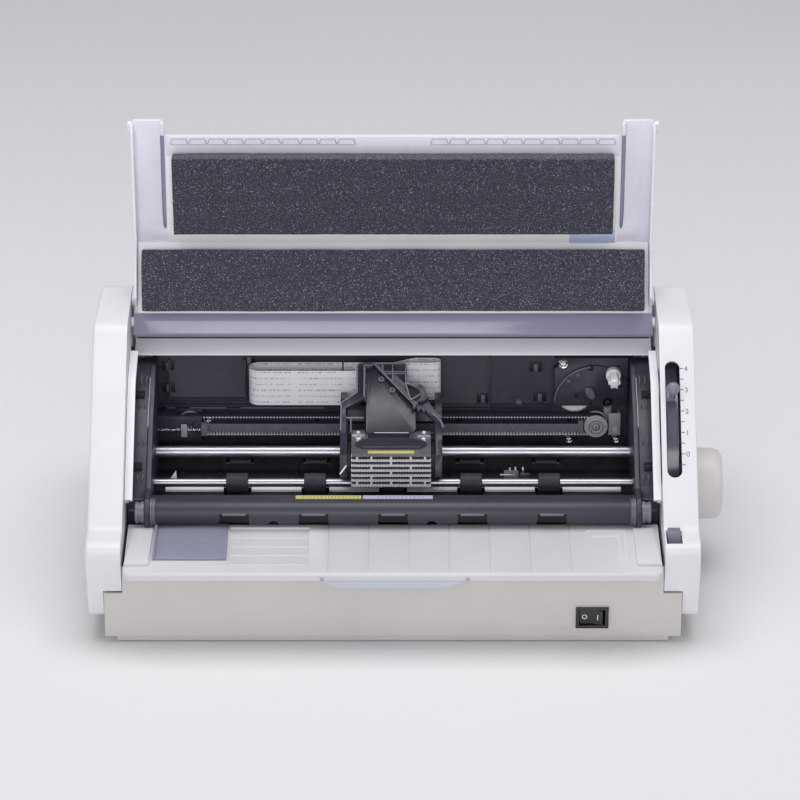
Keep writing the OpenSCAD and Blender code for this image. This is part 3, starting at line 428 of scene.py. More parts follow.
def turned(axis, centre, profile, finish, steps=48, degrees=35):
    """A lathe shape: profile gives (place along the axis, radius). Zero radii close the ends."""
    def ring(h, r, k):
        c, s = r * math.cos(k), r * math.sin(k)
        if axis == "x":
            return (h, centre[0] + c, centre[1] + s)
        if axis == "y":
            return (centre[0] + c, h, centre[1] + s)
        return (centre[0] + c, centre[1] + s, h)
    verts, faces, rows = [], [], []
    for h, r in profile:
        if r == 0:
            rows.append([len(verts)])
            verts.append(ring(h, 0, 0))
        else:
            rows.append(list(range(len(verts), len(verts) + steps)))
            verts += [ring(h, r, 2 * math.pi * i / steps) for i in range(steps)]
    for a, b in zip(rows, rows[1:]):
        for i in range(steps):
            j = (i + 1) % steps
            if len(a) == 1:
                faces.append([a[0], b[i], b[j]])
            elif len(b) == 1:
                faces.append([a[i], b[0], a[j]])
            else:
                faces.append([a[i], b[i], b[j], a[j]])
    return settle(outwards(thing(verts, faces, finish)), degrees)


def shaft(axis, centre, lo, hi, r, finish, steps=40, chamfer=0.4):
    """A round bar with chamfered ends."""
    c = min(chamfer, r * 0.4, (hi - lo) * 0.4)
    return turned(axis, centre, [(lo, 0), (lo, r - c), (lo + c, r), (hi - c, r), (hi, r - c), (hi, 0)],
                  finish, steps)


def dress(node, finish, edge=0.5, segments=2, wide=0.0, is_wide=None, cut=None):
    """A CAD node's own shape with its sharp edges rounded, standing for that node.

    The edges that is_wide picks out get the wide radius. A cutter is taken out of the shape at the end.
    """
    cad = nodes[node]
    mesh = cad.data.copy()
    obj = add_object("part", mesh)
    bm = bmesh.new()
    bm.from_mesh(mesh)
    bmesh.ops.remove_doubles(bm, verts=bm.verts, dist=2e-6)
    bmesh.ops.dissolve_limit(bm, angle_limit=math.radians(0.6), verts=bm.verts, edges=bm.edges)
    layer = bm.edges.layers.float.get("bevel_weight_edge") or bm.edges.layers.float.new("bevel_weight_edge")
    width = max(edge, wide, 0.001)
    for e in bm.edges:
        if len(e.link_faces) == 2 and e.calc_face_angle(0) > math.radians(24):
            far = is_wide is not None and all(is_wide(v.co / MM - SEAT) for v in e.verts)
            e[layer] = (wide if far else edge) / width
    bm.to_mesh(mesh)
    bm.free()
    mesh.materials.clear()
    mesh.materials.append(finish)
    if width > 0.01:
        bevel = obj.modifiers.new("edge", "BEVEL")
        bevel.width = width * MM
        bevel.segments = segments
        bevel.limit_method = "WEIGHT"
        bevel.use_clamp_overlap = True
    settle(obj)
    if cut:
        cut_away(obj, cut)
    return keep(node + "_finished", obj, cad["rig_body"], slot_of[node], node)


def paint(node, finish):
    """A CAD node that keeps its own mesh and gets its finish."""
    mesh = nodes[node].data
    mesh.materials.clear()
    mesh.materials.append(finish)


# ---- Repeating details by geometry nodes ----

def row_tree():
    """Copies of a piece on a straight row: inputs Piece, Count, Start, Step and Finish."""
    tree = bpy.data.node_groups.new("row_of_pieces", "GeometryNodeTree")
    face = tree.interface
    for name, kind in (("Piece", "NodeSocketObject"), ("Count", "NodeSocketInt"),
                       ("Start", "NodeSocketVector"), ("Step", "NodeSocketVector"),
                       ("Finish", "NodeSocketMaterial")):
        face.new_socket(name, in_out="INPUT", socket_type=kind)
    face.new_socket("Geometry", in_out="OUTPUT", socket_type="NodeSocketGeometry")
    add = tree.nodes.new
    given, result = add("NodeGroupInput"), add("NodeGroupOutput")
    line, info = add("GeometryNodeMeshLine"), add("GeometryNodeObjectInfo")
    copies = add("GeometryNodeInstanceOnPoints")
    real, paint_it = add("GeometryNodeRealizeInstances"), add("GeometryNodeSetMaterial")
    link = tree.links.new
    link(given.outputs["Count"], line.inputs["Count"])
    link(given.outputs["Start"], line.inputs["Start Location"])
    link(given.outputs["Step"], line.inputs["Offset"])
    link(given.outputs["Piece"], info.inputs["Object"])
    link(line.outputs[0], copies.inputs["Points"])
    link(info.outputs["Geometry"], copies.inputs["Instance"])
    link(copies.outputs[0], real.inputs[0])
    link(real.outputs[0], paint_it.inputs["Geometry"])
    link(given.outputs["Finish"], paint_it.inputs["Material"])
    link(paint_it.outputs[0], result.inputs[0])
    return tree


ROW = row_tree()


def run_tree(obj, tree, **inputs):
    """Runs a tree on an object with the named inputs and keeps the plain mesh that it makes."""
    run = obj.modifiers.new("tree", "NODES")
    run.node_group = tree
    ids = {i.name: i.identifier for i in tree.interface.items_tree if i.in_out == "INPUT"}
    for key, value in inputs.items():
        run[ids[key]] = value
    mesh = finished_mesh(obj)
    made = add_object("part", mesh)
    bpy.data.objects.remove(obj)
    crease(mesh)
    return made


def row(piece, count, step):
    """Count copies of a piece, each a step in millimetres from the last. The piece itself is used up."""
    holder = add_object("part", bpy.data.meshes.new("part"))
    made = run_tree(holder, ROW, Piece=piece, Count=count, Start=(0.0, 0.0, 0.0),
                    Step=tuple(s * MM for s in step), Finish=piece.data.materials[0])
    bpy.data.objects.remove(piece)
    return made


# ---- Sizes shared with the solids ----

HINGE = Vector((0, 148, 160))
LID_X, LID_REAR, LID_FRONT, BEND = 170.6, 53.3, 76.5, math.radians(28)
EAR_L, EAR_W, RIM_T, RIM_D = 11, 22, 2, 7.5
SLIT_X = 148.9          # inner edge of the slits beside the ears
LID_FACE = 1.2          # inner face of the lid above its middle plane
PANEL_FACE = LID_FACE + 1.5
FOAM_T = 9.7
REAR_WALL = 158.0
FRAME_X = 160           # outer faces of the side frames
DECK_Z = 62             # top of the paper deck
BOARD_TOP = 17.5
SOCKET_FACE = 249.7     # the case's rear face, behind the sockets
ROD = (124.7, 76.0)
GUIDE_BAR = (48.5, 69.5)
FEED_Y, REAR_Y = 93.7, 145.7
FEED_Z, IDLER_Z = 55.5, 68.5
ROLLERS = [(i - 2) * 51.2 for i in range(5)]
BELT_Y, BELT_Z, BELT_R = 151.0, 84.0, 6.45
DRIVE_X, IDLER_X = 135.4, -136.0
GEARBOX, RIBBON_GEAR, SPINDLE = (134, 100), (121, 103.8), (146.2, 121.8)
CARRIAGE_X = -1.3
HEAD_Y, HEAD_W, HEAD_D = 72.0, 52.0, 34.0
HEAD_Z, FIN_PITCH, FIN_COUNT, PLATE_T = 76.05, 3.6, 6, 1.75
HEAD_TOP = HEAD_Z + FIN_COUNT * FIN_PITCH + PLATE_T
TABLE = (-14.0, 56.6, 60.0)

REAR_PLANE = Matrix.Translation(HINGE) @ Matrix.Rotation(math.radians(65), 4, "X")
FRONT_PLANE = REAR_PLANE @ Matrix.Translation((0, LID_REAR, 0)) @ Matrix.Rotation(BEND, 4, "X")
FILM_PLANE = (Matrix.Translation((CARRIAGE_X, 104, HEAD_TOP + 2.8))
              @ Matrix.Rotation(math.atan2(128 - HEAD_TOP - 2.8, 39), 4, "X"))
TABLE_PLANE = (Matrix.Translation((0, TABLE[0], TABLE[1]))
               @ Matrix.Rotation(math.atan2(DECK_Z - TABLE[1], TABLE[2]), 4, "X"))
SLOPE_PLANE = Matrix.Translation((0, 71.4, 125.4)) @ Matrix.Rotation(math.radians(45), 4, "X")


def on_plane(obj, plane):
    """Moves a mesh drawn in a plane's own coordinates onto that plane."""
    shift = Matrix.Translation(SEAT * MM)
    plane_m = plane.copy()
    plane_m.translation = plane.translation * MM
    obj.data.transform(shift @ plane_m @ shift.inverted())
    obj.data.update()
    return obj


def flat(plane, outline, lo, hi, finish, edge=0.2, segments=2):
    """A flat piece cut to an outline in a plane, from one height over it to another."""
    return on_plane(prism("z", lo, hi, outline, finish, edge, segments), plane)


def beam(plane, a, b, width, lo, hi, finish, edge=0.12):
    """A straight bar in a plane, from one point to another."""
    along = (Vector(b) - Vector(a)).normalized() * width / 2
    side = Vector((-along.y, along.x))
    corners = [Vector(a) + side, Vector(a) - side, Vector(b) - side, Vector(b) + side]
    return flat(plane, [tuple(c) for c in corners], lo, hi, finish, edge, 1)


def frame_of(plane, outline, width, lo, hi, finish):
    """A closed run of bars along an outline."""
    corners = zip(outline, outline[1:] + outline[:1])
    return [beam(plane, a, b, width, lo, hi, finish) for a, b in corners]


def span(side, a, b):
    """Two distances from the middle as a range in X, on the right (1) or the left (-1)."""
    return sorted((side * a, side * b))


def mirrored(outline):
    """An outline turned over from left to right."""
    return [(-x, y) for x, y in outline[::-1]]


def arc(centre, r, start, end, steps=8):
    """Points on a circle, angles in degrees."""
    angles = [math.radians(start + (end - start) * i / steps) for i in range(steps + 1)]
    return [(centre[0] + r * math.cos(a), centre[1] + r * math.sin(a)) for a in angles]


def tube(points, r, finish, steps=8):
    """A round wire through drawing points, closed at both ends."""
    verts, faces = [], []
    side = None
    for i, p in enumerate(points):
        ahead = (Vector(points[min(i + 1, len(points) - 1)]) - Vector(points[max(i - 1, 0)])).normalized()
        if side is None:
            side = ahead.orthogonal().normalized()
        side = (side - ahead * side.dot(ahead)).normalized()
        up = ahead.cross(side)
        for k in range(steps):
            a = 2 * math.pi * k / steps
            verts.append(Vector(p) + side * r * math.cos(a) + up * r * math.sin(a))
    for i in range(len(points) - 1):
        for k in range(steps):
            a, b = i * steps + k, i * steps + (k + 1) % steps
            faces.append([a, b, b + steps, a + steps])
    faces += [list(range(steps))[::-1], list(range(len(verts) - steps, len(verts)))]
    return settle(outwards(thing(verts, faces, finish)))


def screw_head(axis, centre, base, r, height, finish):
    """A pan head with a cross recess, its face towards the low end of the axis."""
    head = turned(axis, centre, [(base, 0), (base, r), (base - height * 0.45, r),
                                 (base - height * 0.85, r * 0.8), (base - height, r * 0.45),
                                 (base - height, 0)], finish, 32)
    w, length = r * 0.13, r * 0.62
    plus = [(w, length), (w, w), (length, w), (length, -w), (w, -w), (w, -length),
            (-w, -length), (-w, -w), (-length, -w), (-length, w), (-w, w), (-w, length)]
    cutter = prism(axis, base - height - 1, base - height * 0.35,
                   [(centre[0] + x, centre[1] + y) for x, y in plus], finish, 0)
    return cut_away(head, cutter, 30)


def washer_screw(centre, base, finish):
    """A screw with a dished washer on the rear wall."""
    washer = turned("y", centre, [(base, 0), (base, 3.4), (base - 0.5, 3.4), (base - 0.8, 3.1),
                                  (base - 0.5, 2.6), (base - 0.5, 0)], finish, 40)
    return [washer, screw_head("y", centre, base - 0.5, 2.1, 1.2, finish)]


# ---- Casings ----

def casing_edge(p):
    """Whether a point is on the rounded outer rim of a side casing, which narrows towards the rear."""
    reach = 195.5 - 5 * min(1, max(0, (p.y - 117) / 133))
    return abs(p.x) > reach - 1.2


for side in ("left_side_casing", "right_side_casing"):
    dress(side, WHITE, edge=0.5, segments=5, wide=4.5, is_wide=casing_edge)
dress("lower_case", GREY, edge=0.9, segments=3)
lip_cut = block((-170.7, 142.5, 130), (170.7, 146.2, 138), WHITE, 0)
dress("upper_case", WHITE_PAINTED_LIGHTER, edge=0.5, segments=2, cut=lip_cut)
keep("hinge_shadow_gap", block((-169, 145.4, 149.2), (169, 146.4, 150.2), SHADOW_BLACK, 0.1), "printer",
     "casing_grey")
dress("front_table", TABLE_GREY, edge=0.35, segments=2)
dress("pull_out_support", TAB, edge=0.3)
dress("rubber_feet", FEET, edge=0.5)

keep("table_lip_dots", [shaft("y", (x, 53.4), -14.5, -13.5, 1.3, GREY_DARK, 24, 0.2) for x in (-45, 47.5)],
     "printer", "table_grey")
# Bare raised panel at the right of the table, with no mark on it
for i, (a, b) in enumerate((((124.5, 52.5), (149, 52.5)), ((149, 52.5), (149, 18)), ((149, 18), (145, 18)),
                            ((124.5, 52.5), (124.5, 50.5)), ((145, 18), (145, 46)), ((145, 46), (128, 46)))):
    keep(f"table_panel_line_{i}", beam(TABLE_PLANE, a, b, 0.7, -0.2, 0.3, WHITE, 0.15), "printer",
         "table_grey")

keep("casing_notches", [block((s * 171.8 - 1.1, 142.2, 137.6), (s * 171.8 + 1.1, 143.4, 144.6), DEEP, 0.2)
                        for s in (-1, 1)], "printer", "casing_grey")

# Steps of the recess in the table: one long bar for each, in the lighter casing white as a painted highlight
# along the step edges
steps_row = row(flat(TABLE_PLANE, [(-104, 12.2), (-54.5, 12.2), (-54.5, 12.9), (-104, 12.9)],
                     -0.9, -0.05, WHITE, 0.25),
                4, tuple(TABLE_PLANE.to_3x3() @ Vector((0, 11, -0.3))))
keep("recess_steps", steps_row, "printer", "table_grey")


# ---- Lid ----

def bend_at(d):
    """Where the bend is, at a height over the lid's middle plane."""
    return (LID_REAR - d * math.tan(BEND / 2), d)


def front_at(y, z):
    """A point of the front plane in the rear plane's coordinates."""
    return (LID_REAR + y * math.cos(BEND) - z * math.sin(BEND), y * math.sin(BEND) + z * math.cos(BEND))


def lid_sheet():
    """The lid's bent sheet with its two slits, ears, rims and clips."""
    half = LID_FACE
    slit = [(SLIT_X, LID_FRONT), (SLIT_X, 13), (149.2, 10.4), (150.2, 9.2), (151.1, 12), (151.5, 22),
            (151.5, LID_FRONT + 0.5), (LID_X - EAR_W, LID_FRONT + 0.7),
            (LID_X - EAR_W, LID_FRONT + EAR_L - 2), (LID_X - EAR_W + 2, LID_FRONT + EAR_L),
            (LID_X - 2, LID_FRONT + EAR_L), (LID_X, LID_FRONT + EAR_L - 2), (LID_X, 0)]
    pieces = [flat(FRONT_PLANE, slit + mirrored(slit), -half, half, LID, 0.35),
              on_plane(prism("x", -LID_X, LID_X, [(5.2, -half), (LID_REAR, -half), (LID_REAR, half),
                                                  (5.2, half)], LID, 0.3), REAR_PLANE),
              on_plane(shaft("x", (LID_REAR, 0), -LID_X, LID_X, half, LID, 24, 0.1), REAR_PLANE)]
    y = LID_FRONT + EAR_L - 2
    rim = [(9.2, half - 0.1), bend_at(half - 0.1), front_at(y, half - 0.1), front_at(y, RIM_D - 3),
           front_at(y - 6, RIM_D), bend_at(RIM_D), (15.2, RIM_D)]
    for s in (-1, 1):
        lo, hi = span(s, LID_X, LID_X - RIM_T)
        pieces.append(on_plane(prism("x", lo, hi, rim, LID, 0.5, 3), REAR_PLANE))
        lo, hi = span(s, LID_X + 1.9, LID_X - 0.5)
        clip = [(78, 0.5), (80, 2.6), (85, 2.6), (86.5, 0.5)]
        pieces.append(on_plane(prism("x", lo, hi, clip, LID, 0.3), FRONT_PLANE))
        lo, hi = span(s, LID_X - EAR_W + 0.2, LID_X - EAR_W + 2.4)
        hook = [(77.4, 0.5), (77.4, 3.6), (79.5, 4.2), (86.4, 4.2), (86.4, 0.5)]
        pieces.append(on_plane(prism("x", lo, hi, hook, LID, 0.3), FRONT_PLANE))
        lo, hi = span(s, 147.6, 153.2)
        pieces.append(flat(FRONT_PLANE, [(lo, 8), (hi, 8), (hi, 75.5), (lo, 75.5)], -2.6, -1.3, BAR, 0.1))
    return pieces


keep("lid_sheet", lid_sheet(), "lid", "lid_tint", "lid_shell")
dress("lid_panel", PANEL, edge=0.25)
dress("hinge_bar", BAR, edge=0.4)

STRIP_X = SLIT_X - 1
strip_plate = flat(FRONT_PLANE, [(-STRIP_X, 65.6), (STRIP_X, 65.6), (STRIP_X, LID_FRONT),
                                 (-STRIP_X, LID_FRONT)], LID_FACE, PANEL_FACE, LID, 0.2)
TOOTH_PITCH = (SLIT_X - 9.75) / 11.5


def tooth_row(first, count):
    """Outlined tear teeth on the front strip: each is a plate with a thin blue-grey rim around it, painted
    shading along the tooth edges.
    """
    ring = [(-5.7, -1.9), (5.7, -1.9), (4.5, 1.9), (-4.5, 1.9)]
    shape = [(first + x, 73.0 + y) for x, y in ring]
    plate = flat(FRONT_PLANE, shape, PANEL_FACE - 0.02, PANEL_FACE + 0.5, LID, 0.15, 1)
    rim = frame_of(FRONT_PLANE, shape, 0.55, PANEL_FACE - 0.02, PANEL_FACE + 0.62, TOOTH_EDGE_SHADE)
    return [row(piece, count, (TOOTH_PITCH, 0, 0)) for piece in [plate] + rim]


teeth = tooth_row(-11.5 * TOOTH_PITCH, 10) + tooth_row(2.5 * TOOTH_PITCH, 10)
keep("tear_edge", [strip_plate] + teeth, "lid", "lid_tint", "tear_strip")

keep("hinge_pin_sleeves", [shaft("x", (HINGE.y, HINGE.z), *span(s, 170.7, 172.8), 3.5, WHITE, 32, 0.3)
                           for s in (-1, 1)], "lid", "casing_white")


def foam_pad(name, lo, hi, plane, node, seed, step=2.2):
    """A cut foam block with soft corners and a slightly torn face."""
    n = [max(2, round((hi[i] - lo[i]) / step)) for i in range(3)]
    index, verts, faces = {}, [], []

    def corner(ijk):
        if ijk not in index:
            index[ijk] = len(verts)
            verts.append(Vector([lo[i] + (hi[i] - lo[i]) * ijk[i] / n[i] for i in range(3)]))
        return index[ijk]

    for axis in range(3):
        u, v = (axis + 1) % 3, (axis + 2) % 3
        for end in (0, n[axis]):
            for a in range(n[u]):
                for b in range(n[v]):
                    quad = []
                    for da, db in ((0, 0), (1, 0), (1, 1), (0, 1)):
                        ijk = [0, 0, 0]
                        ijk[axis], ijk[u], ijk[v] = end, a + da, b + db
                        quad.append(corner(tuple(ijk)))
                    faces.append(quad if end else quad[::-1])
    centre = Vector([(lo[i] + hi[i]) / 2 for i in range(3)])
    for p in verts:
        at_edge = sum(1 for i in range(3) if min(p[i] - lo[i], hi[i] - p[i]) < 0.01)
        if at_edge > 1:
            for i in range(3):
                if min(p[i] - lo[i], hi[i] - p[i]) < 0.01:
                    p[i] += math.copysign(0.35, centre[i] - p[i])
        if p[2] > lo[2] + 0.1:
            wobble = noise.noise_vector(Vector((p.x * 0.35 + seed, p.y * 0.35, p.z * 0.35)))
            drift = noise.noise_vector(Vector((p.x * 0.03 + seed, p.y * 0.05, 0)))
            for i in range(3):
                p[i] += 0.22 * wobble[i] + 0.3 * drift[i]
            p[2] = min(p[2], hi[2] + 0.35)
    pad = outwards(thing(verts, faces, FOAM))
    settle(on_plane(pad, plane), 60)
    keep(name, pad, "lid", "foam_dark", node)


foam_pad("front_foam_pad", (-144.2, 10.3, PANEL_FACE), (144.2, 64.9, PANEL_FACE + FOAM_T), FRONT_PLANE,
         "lid_front_foam", 3)
foam_pad("rear_foam_pad", (-165.4, 6.9, PANEL_FACE), (165.4, 47.5, PANEL_FACE + FOAM_T), REAR_PLANE,
         "lid_rear_foam", 17)
keep("lid_clear_patch", flat(FRONT_PLANE, [(116, -1.5), (146, -1.5), (146, 9.6), (116, 9.6)],
                             PANEL_FACE + 0.02, PANEL_FACE + 0.35, PATCH, 0.1), "lid", "lid_tint")

# ---- Frame and paper path ----

for name in ("left_frame", "right_frame", "rear_frame"):
    dress(name, DARK, edge=0.3)
dress("paper_deck", DEEP, edge=0.2, segments=1)
dress("guide_bar", BAR_DARK, edge=0.3)
paint("steel_guide_plate", PLATE)
dress("platen_bar", ROLLER, edge=0.2, segments=1)

keep("carriage_rod_polished", [shaft("x", ROD, -FRAME_X, FRAME_X, 4, CHROME, 64),
                               shaft("x", ROD, 157, 180, 3, CHROME, 40)],
     "printer", "steel_polished", "carriage_rod")


def feed_line(name, y, z, end, body, shaft_node, roller_node):
    """A polished shaft from the left frame to its right end, with five rubber rollers on it."""
    core, half = 2.8, 7.15
    keep(name + "_polished", shaft("x", (y, z), -FRAME_X, end, core, CHROME, 48), body, "steel_polished",
         shaft_node)
    tyres = [turned("x", (y, z), [(x - half, core), (x - half, 5.9), (x - 6.6, 6.35), (x + 6.6, 6.35),
                                  (x + half, 5.9), (x + half, core), (x - half, core)], ROLLER, 48)
             for x in ROLLERS]
    keep(name + "_tyres", tyres, body, "rubber_black", roller_node)


feed_line("idler_line", FEED_Y, IDLER_Z, FRAME_X, "idler_rolls", "idler_shaft", "idler_rollers")
feed_line("front_feed_line", FEED_Y, FEED_Z, FRAME_X + 7, "front_feed", "front_feed_shaft",
          "front_feed_rollers")
feed_line("rear_feed_line", REAR_Y, FEED_Z, FRAME_X + 7, "rear_feed", "rear_feed_shaft", "rear_feed_rollers")
dress("rear_pinch_rollers", DARK, edge=0.2, segments=1)
for gear in ("front_feed_gear", "rear_feed_gear", "knob_gear"):
    paint(gear, NYLON)
paint("motor_pinion", BRASS)
dress("feed_motor", SHEET, edge=0.6)
dress("carriage_motor", SHEET, edge=0.8)
dress("paper_knob", CREAM, edge=0.0)


def wall_details():
    """Ledge, slots, hooks and sockets on the rear wall of the bay."""
    face = REAR_WALL
    pieces = [block((-152, face - 1.5, 92.6), (-46, face, 94.0), DARK_LIT, 0.3)]
    for x in (-141, -107):
        pieces.append(block((x - 5, face - 1.9, 93.2), (x + 5, face - 1.4, 95.6), DEEP, 0.1))
    for x, z in ((-150, 124), (-150, 108), (-96, 128), (60, 100), (95, 123), (98, 101)):
        pieces.append(block((x - 1.4, face - 2.0, z - 2.6), (x + 1.4, face, z + 2.6), DARK_LIT, 0.4))
        pieces.append(block((x - 4.2, face - 0.5, z - 3.4), (x + 4.2, face + 0.1, z + 3.4), DEEP, 0.1))
    for x in (-51, 44, 118):
        pieces.append(turned("y", (x, 84.3), [(face, 0), (face, 1.7), (face - 0.8, 1.6), (face - 1.1, 0)],
                             BLACK_SCREW, 24))
    ring = [(face - 1.3, 0), (face - 1.3, 2.0), (face, 2.2), (face, 0)]
    pieces += [turned("y", (x, z), ring, DARK_LIT, 24)
               for x, z in ((-70, 96), (-25, 96), (24, 96), (84, 97.4))]
    return pieces


keep("rear_wall_details", wall_details(), "printer", "frame_dark")
keep("rear_wall_ribs", row(block((-146, REAR_WALL - 1.4, 72), (-145, REAR_WALL, 80.5), DARK_LIT, 0.2), 24,
                           (12.7, 0, 0)), "printer", "frame_dark")

# Painted shade: dark strips in front of the guide plate, whose white is a painted reflection, between the
# rollers and at both ends, and the small paper flag at its left end
plate_shade_strip = flat(Matrix.Translation((0, FEED_Y, DECK_Z)), [(-94.4, -9), (-59.4, -9), (-59.4, -1.4), (-94.4, -1.4)],
           0.02, 0.5, DEEP, 0.1)
keep("guide_plate_lips", row(plate_shade_strip, 4, (51.2, 0, 0)), "printer", "frame_dark")
keep("guide_plate_ends", [block((s * 131.5 - 20.5, FEED_Y - 9, DECK_Z + 0.02),
                                (s * 131.5 + 20.5, FEED_Y - 1.4, DECK_Z + 0.5), DEEP, 0.1) for s in (-1, 1)],
     "printer", "frame_dark")
keep("paper_flag", prism("y", 104, 104.8, [(-147, 66.5), (-142.8, 66.5), (-143.2, 72)], WHITE_MARK_AND_HIGHLIGHT, 0.1), "printer",
     "gear_white")


def paper_sensor():
    """Small switch on the deck with two bright spring tabs and its feeler."""
    pieces = [block((71, 103, DECK_Z), (91, 106.8, 68.6), DEEP, 0.3),
              block((73, 102.6, 66), (82.6, 106.4, 71.6), DARK_LIT, 0.4),
              block((83.4, 102.8, 66), (90, 106, 70), DARK, 0.4),
              block((70.4, 102.2, 69.4), (80.8, 103.0, 70.4), ZINC, 0.15)]
    for x, top in ((76.2, 74.4), (79.8, 75.1), (84.8, 75.1)):
        pieces.append(block((x, 103.6, 69), (x + 1.5, 104.2, top), ZINC, 0.2))
        pieces.append(block((x, 102.4, top - 0.9), (x + 1.5, 104.2, top - 0.3), ZINC, 0.15))
    return pieces


keep("paper_sensor", paper_sensor(), "printer", "steel_sheet")


def side_cover(s):
    """Sloping dark cover that closes the gap between a side frame and its casing."""
    lo, hi = span(s, FRAME_X + 0.3, 172.4)
    outline = [(57, 47), (57, 62), (62, 81.5), (100, 113.5), (140, 132), (154, 132), (154, 130.5),
               (140.5, 130.3), (101, 112), (63.3, 80.6), (58.4, 61.5), (58.4, 47)]
    pieces = [prism("x", lo, hi, outline, DARK, 0.3)]
    for x in (162.2, 165.6, 170.6):
        for y, z in ((64, 84.4), (84, 101.2), (106, 117.5), (124, 125.8)):
            pieces.append(block((s * x - 0.5, y, z - 1.4), (s * x + 0.5, y + 11, z + 2.6), DARK_LIT, 0.2))
    for y, z in ((70, 90.2), (114, 121.2)):
        lo, hi = span(s, 163.0, 169.8)
        pieces.append(block((lo, y, z - 2), (hi, y + 5, z + 2.4), DEEP, 0.3))
    for z in (51, 56, 66, 73):
        lo, hi = span(s, 161.5, 171.5)
        lean = max(0, z - DECK_Z) * 0.25
        pieces.append(block((lo, 55.6 + lean, z), (hi, 57.6 + lean, z + 0.9), DARK_LIT, 0.2))
    return pieces


for s in (-1, 1):
    keep(f"side_cover_{'right' if s > 0 else 'left'}", side_cover(s), "printer", "frame_dark")


def bar_details():
    """Collars and ends of the guide bar, with its windows as strips of painted shadow and painted highlights
    of the roller tops above them.
    """
    pieces = []
    for s in (-1, 1):
        rings = [(s * x, r) for x, r in ((153.0, 8.1), (153.0, 9.0), (153.2, 9.4), (153.4, 9.4), (153.8, 8.8),
                                         (155.0, 8.8), (155.4, 9.4), (156.6, 9.4), (156.9, 8.6), (156.9, 8.1),
                                         (153.0, 8.1))]
        pieces.append(turned("x", GUIDE_BAR, rings, DARK_LIT, 40))
        ends = [(s * x, r) for x, r in ((160.1, 0), (160.1, 6.1), (160.6, 7.2), (162.6, 7.2), (162.8, 6.5),
                                        (164.2, 6.5), (164.4, 7.0), (166.0, 7.0), (166.6, 6.2), (166.6, 3.4),
                                        (165.6, 3.2), (165.6, 0))]
        pieces.append(turned("x", GUIDE_BAR, ends, COLLAR, 40))
    for x in ROLLERS:
        # Each window is a thin dark strip of painted shadow, with a lighter strip above it as a painted
        # highlight on the top of the roller behind
        dark = arc(GUIDE_BAR, 8.55, 162, 202, 8) + arc(GUIDE_BAR, 8.2, 202, 162, 8)
        pieces.append(prism("x", x - 9.4, x + 9.4, dark, SHADOW_BLACK, 0.05))
        roller_top_highlight = arc(GUIDE_BAR, 9.0, 158, 169, 4) + arc(GUIDE_BAR, 8.3, 169, 158, 4)
        pieces.append(prism("x", x - 7.6, x + 7.6, roller_top_highlight, DARK_LIT, 0.15))
    return pieces


keep("guide_bar_details", bar_details(), "printer", "frame_dark")
strips = [block((-63, 52.5, 76.9), (-20.5, 57, 77.5), YELLOW, 0.1),
          block((-19.5, 52.5, 76.9), (25.7, 57, 77.5), STRIP, 0.1)]
for i in range(16):
    strips.append(block((-58 + i * 2.3, 54.0, 77.45), (-57.4 + i * 2.3, 55.6 + (i % 5 == 0) * 0.8, 77.54),
                        INK, 0))
strips += [block((-10 + i * 2.6, 54.2, 77.45), (-9 + i * 2.6, 55.3, 77.54), INK, 0) for i in range(12)]
keep("scale_strips_marked", strips, "printer", "scale_yellow", "scale_strips")


# ---- Belt drive ----

def pulley(x, shaft_end, proud):
    """A flanged pulley whose rings stand proud of its front face."""
    axle, front = (x, BELT_Z), BELT_Y - 4.3
    profile = [(front - 1.2, 0), (front - 1.2, 1.4), (front - 0.8, 1.8), (front, 2.0), (front, 3.9),
               (front - proud, 4.2), (front - proud, 5.1), (front, 5.4), (front, 7.6), (front + 0.4, 8.0),
               (front + 1.0, 8.0), (front + 1.0, 5.55), (BELT_Y + 3.3, 5.55), (BELT_Y + 3.3, 8.0),
               (BELT_Y + 4.3, 8.0), (BELT_Y + 4.3, 2.0), (shaft_end, 2.0), (shaft_end, 0)]
    key = block((x - 0.35, front - 1.3, BELT_Z - 1.1), (x + 0.35, front - 1.15, BELT_Z + 1.1), DEEP, 0)
    rim_mark = block((x + 5.9, front - 0.06, BELT_Z - 0.3), (x + 7.2, front + 0.1, BELT_Z + 0.3), DEEP, 0)
    top = front - proud - 0.05
    groove = [(top, 4.25), (top, 5.05), (front - 0.1, 5.05), (front - 0.1, 4.25), (top, 4.25)]
    hub = [(top - 0.2, 2.05), (front - 0.1, 3.0), (front + 0.2, 3.0), (front + 0.2, 2.05), (top - 0.2, 2.05)]
    rings = [turned("y", axle, groove, COLLAR, 60), turned("y", axle, hub, COLLAR, 40)]
    return rings + [turned("y", axle, profile, DRIVE, 72, 30), key, rim_mark]


keep("drive_pulley_ringed", pulley(DRIVE_X, 169, 0.5), "drive_pulley_body", "bracket_grey", "drive_pulley")
keep("idler_pulley_ringed", pulley(IDLER_X, 156.5, 0.2), "idler_pulley_body", "bracket_grey", "idler_pulley")
dress("belt_tensioner", DARK, edge=0.4)


def belt_band():
    """The belt's band round both pulleys, as one closed strip."""
    loops = []
    for r in (BELT_R + 0.7, BELT_R + 0.25):
        loops.append(arc((DRIVE_X, BELT_Z), r, -90, 90, 20) + arc((IDLER_X, BELT_Z), r, 90, 270, 20))
    n = len(loops[0])
    verts = [(x, y, z) for y in (BELT_Y - 3, BELT_Y + 3) for loop in loops for x, z in loop]
    faces = []
    for i in range(n):
        j = (i + 1) % n
        faces += [[i, j, 2 * n + j, 2 * n + i], [n + i, 3 * n + i, 3 * n + j, n + j],
                  [i, n + i, n + j, j], [2 * n + i, 2 * n + j, 3 * n + j, 3 * n + i]]
    return settle(outwards(thing(verts, faces, BELT)))


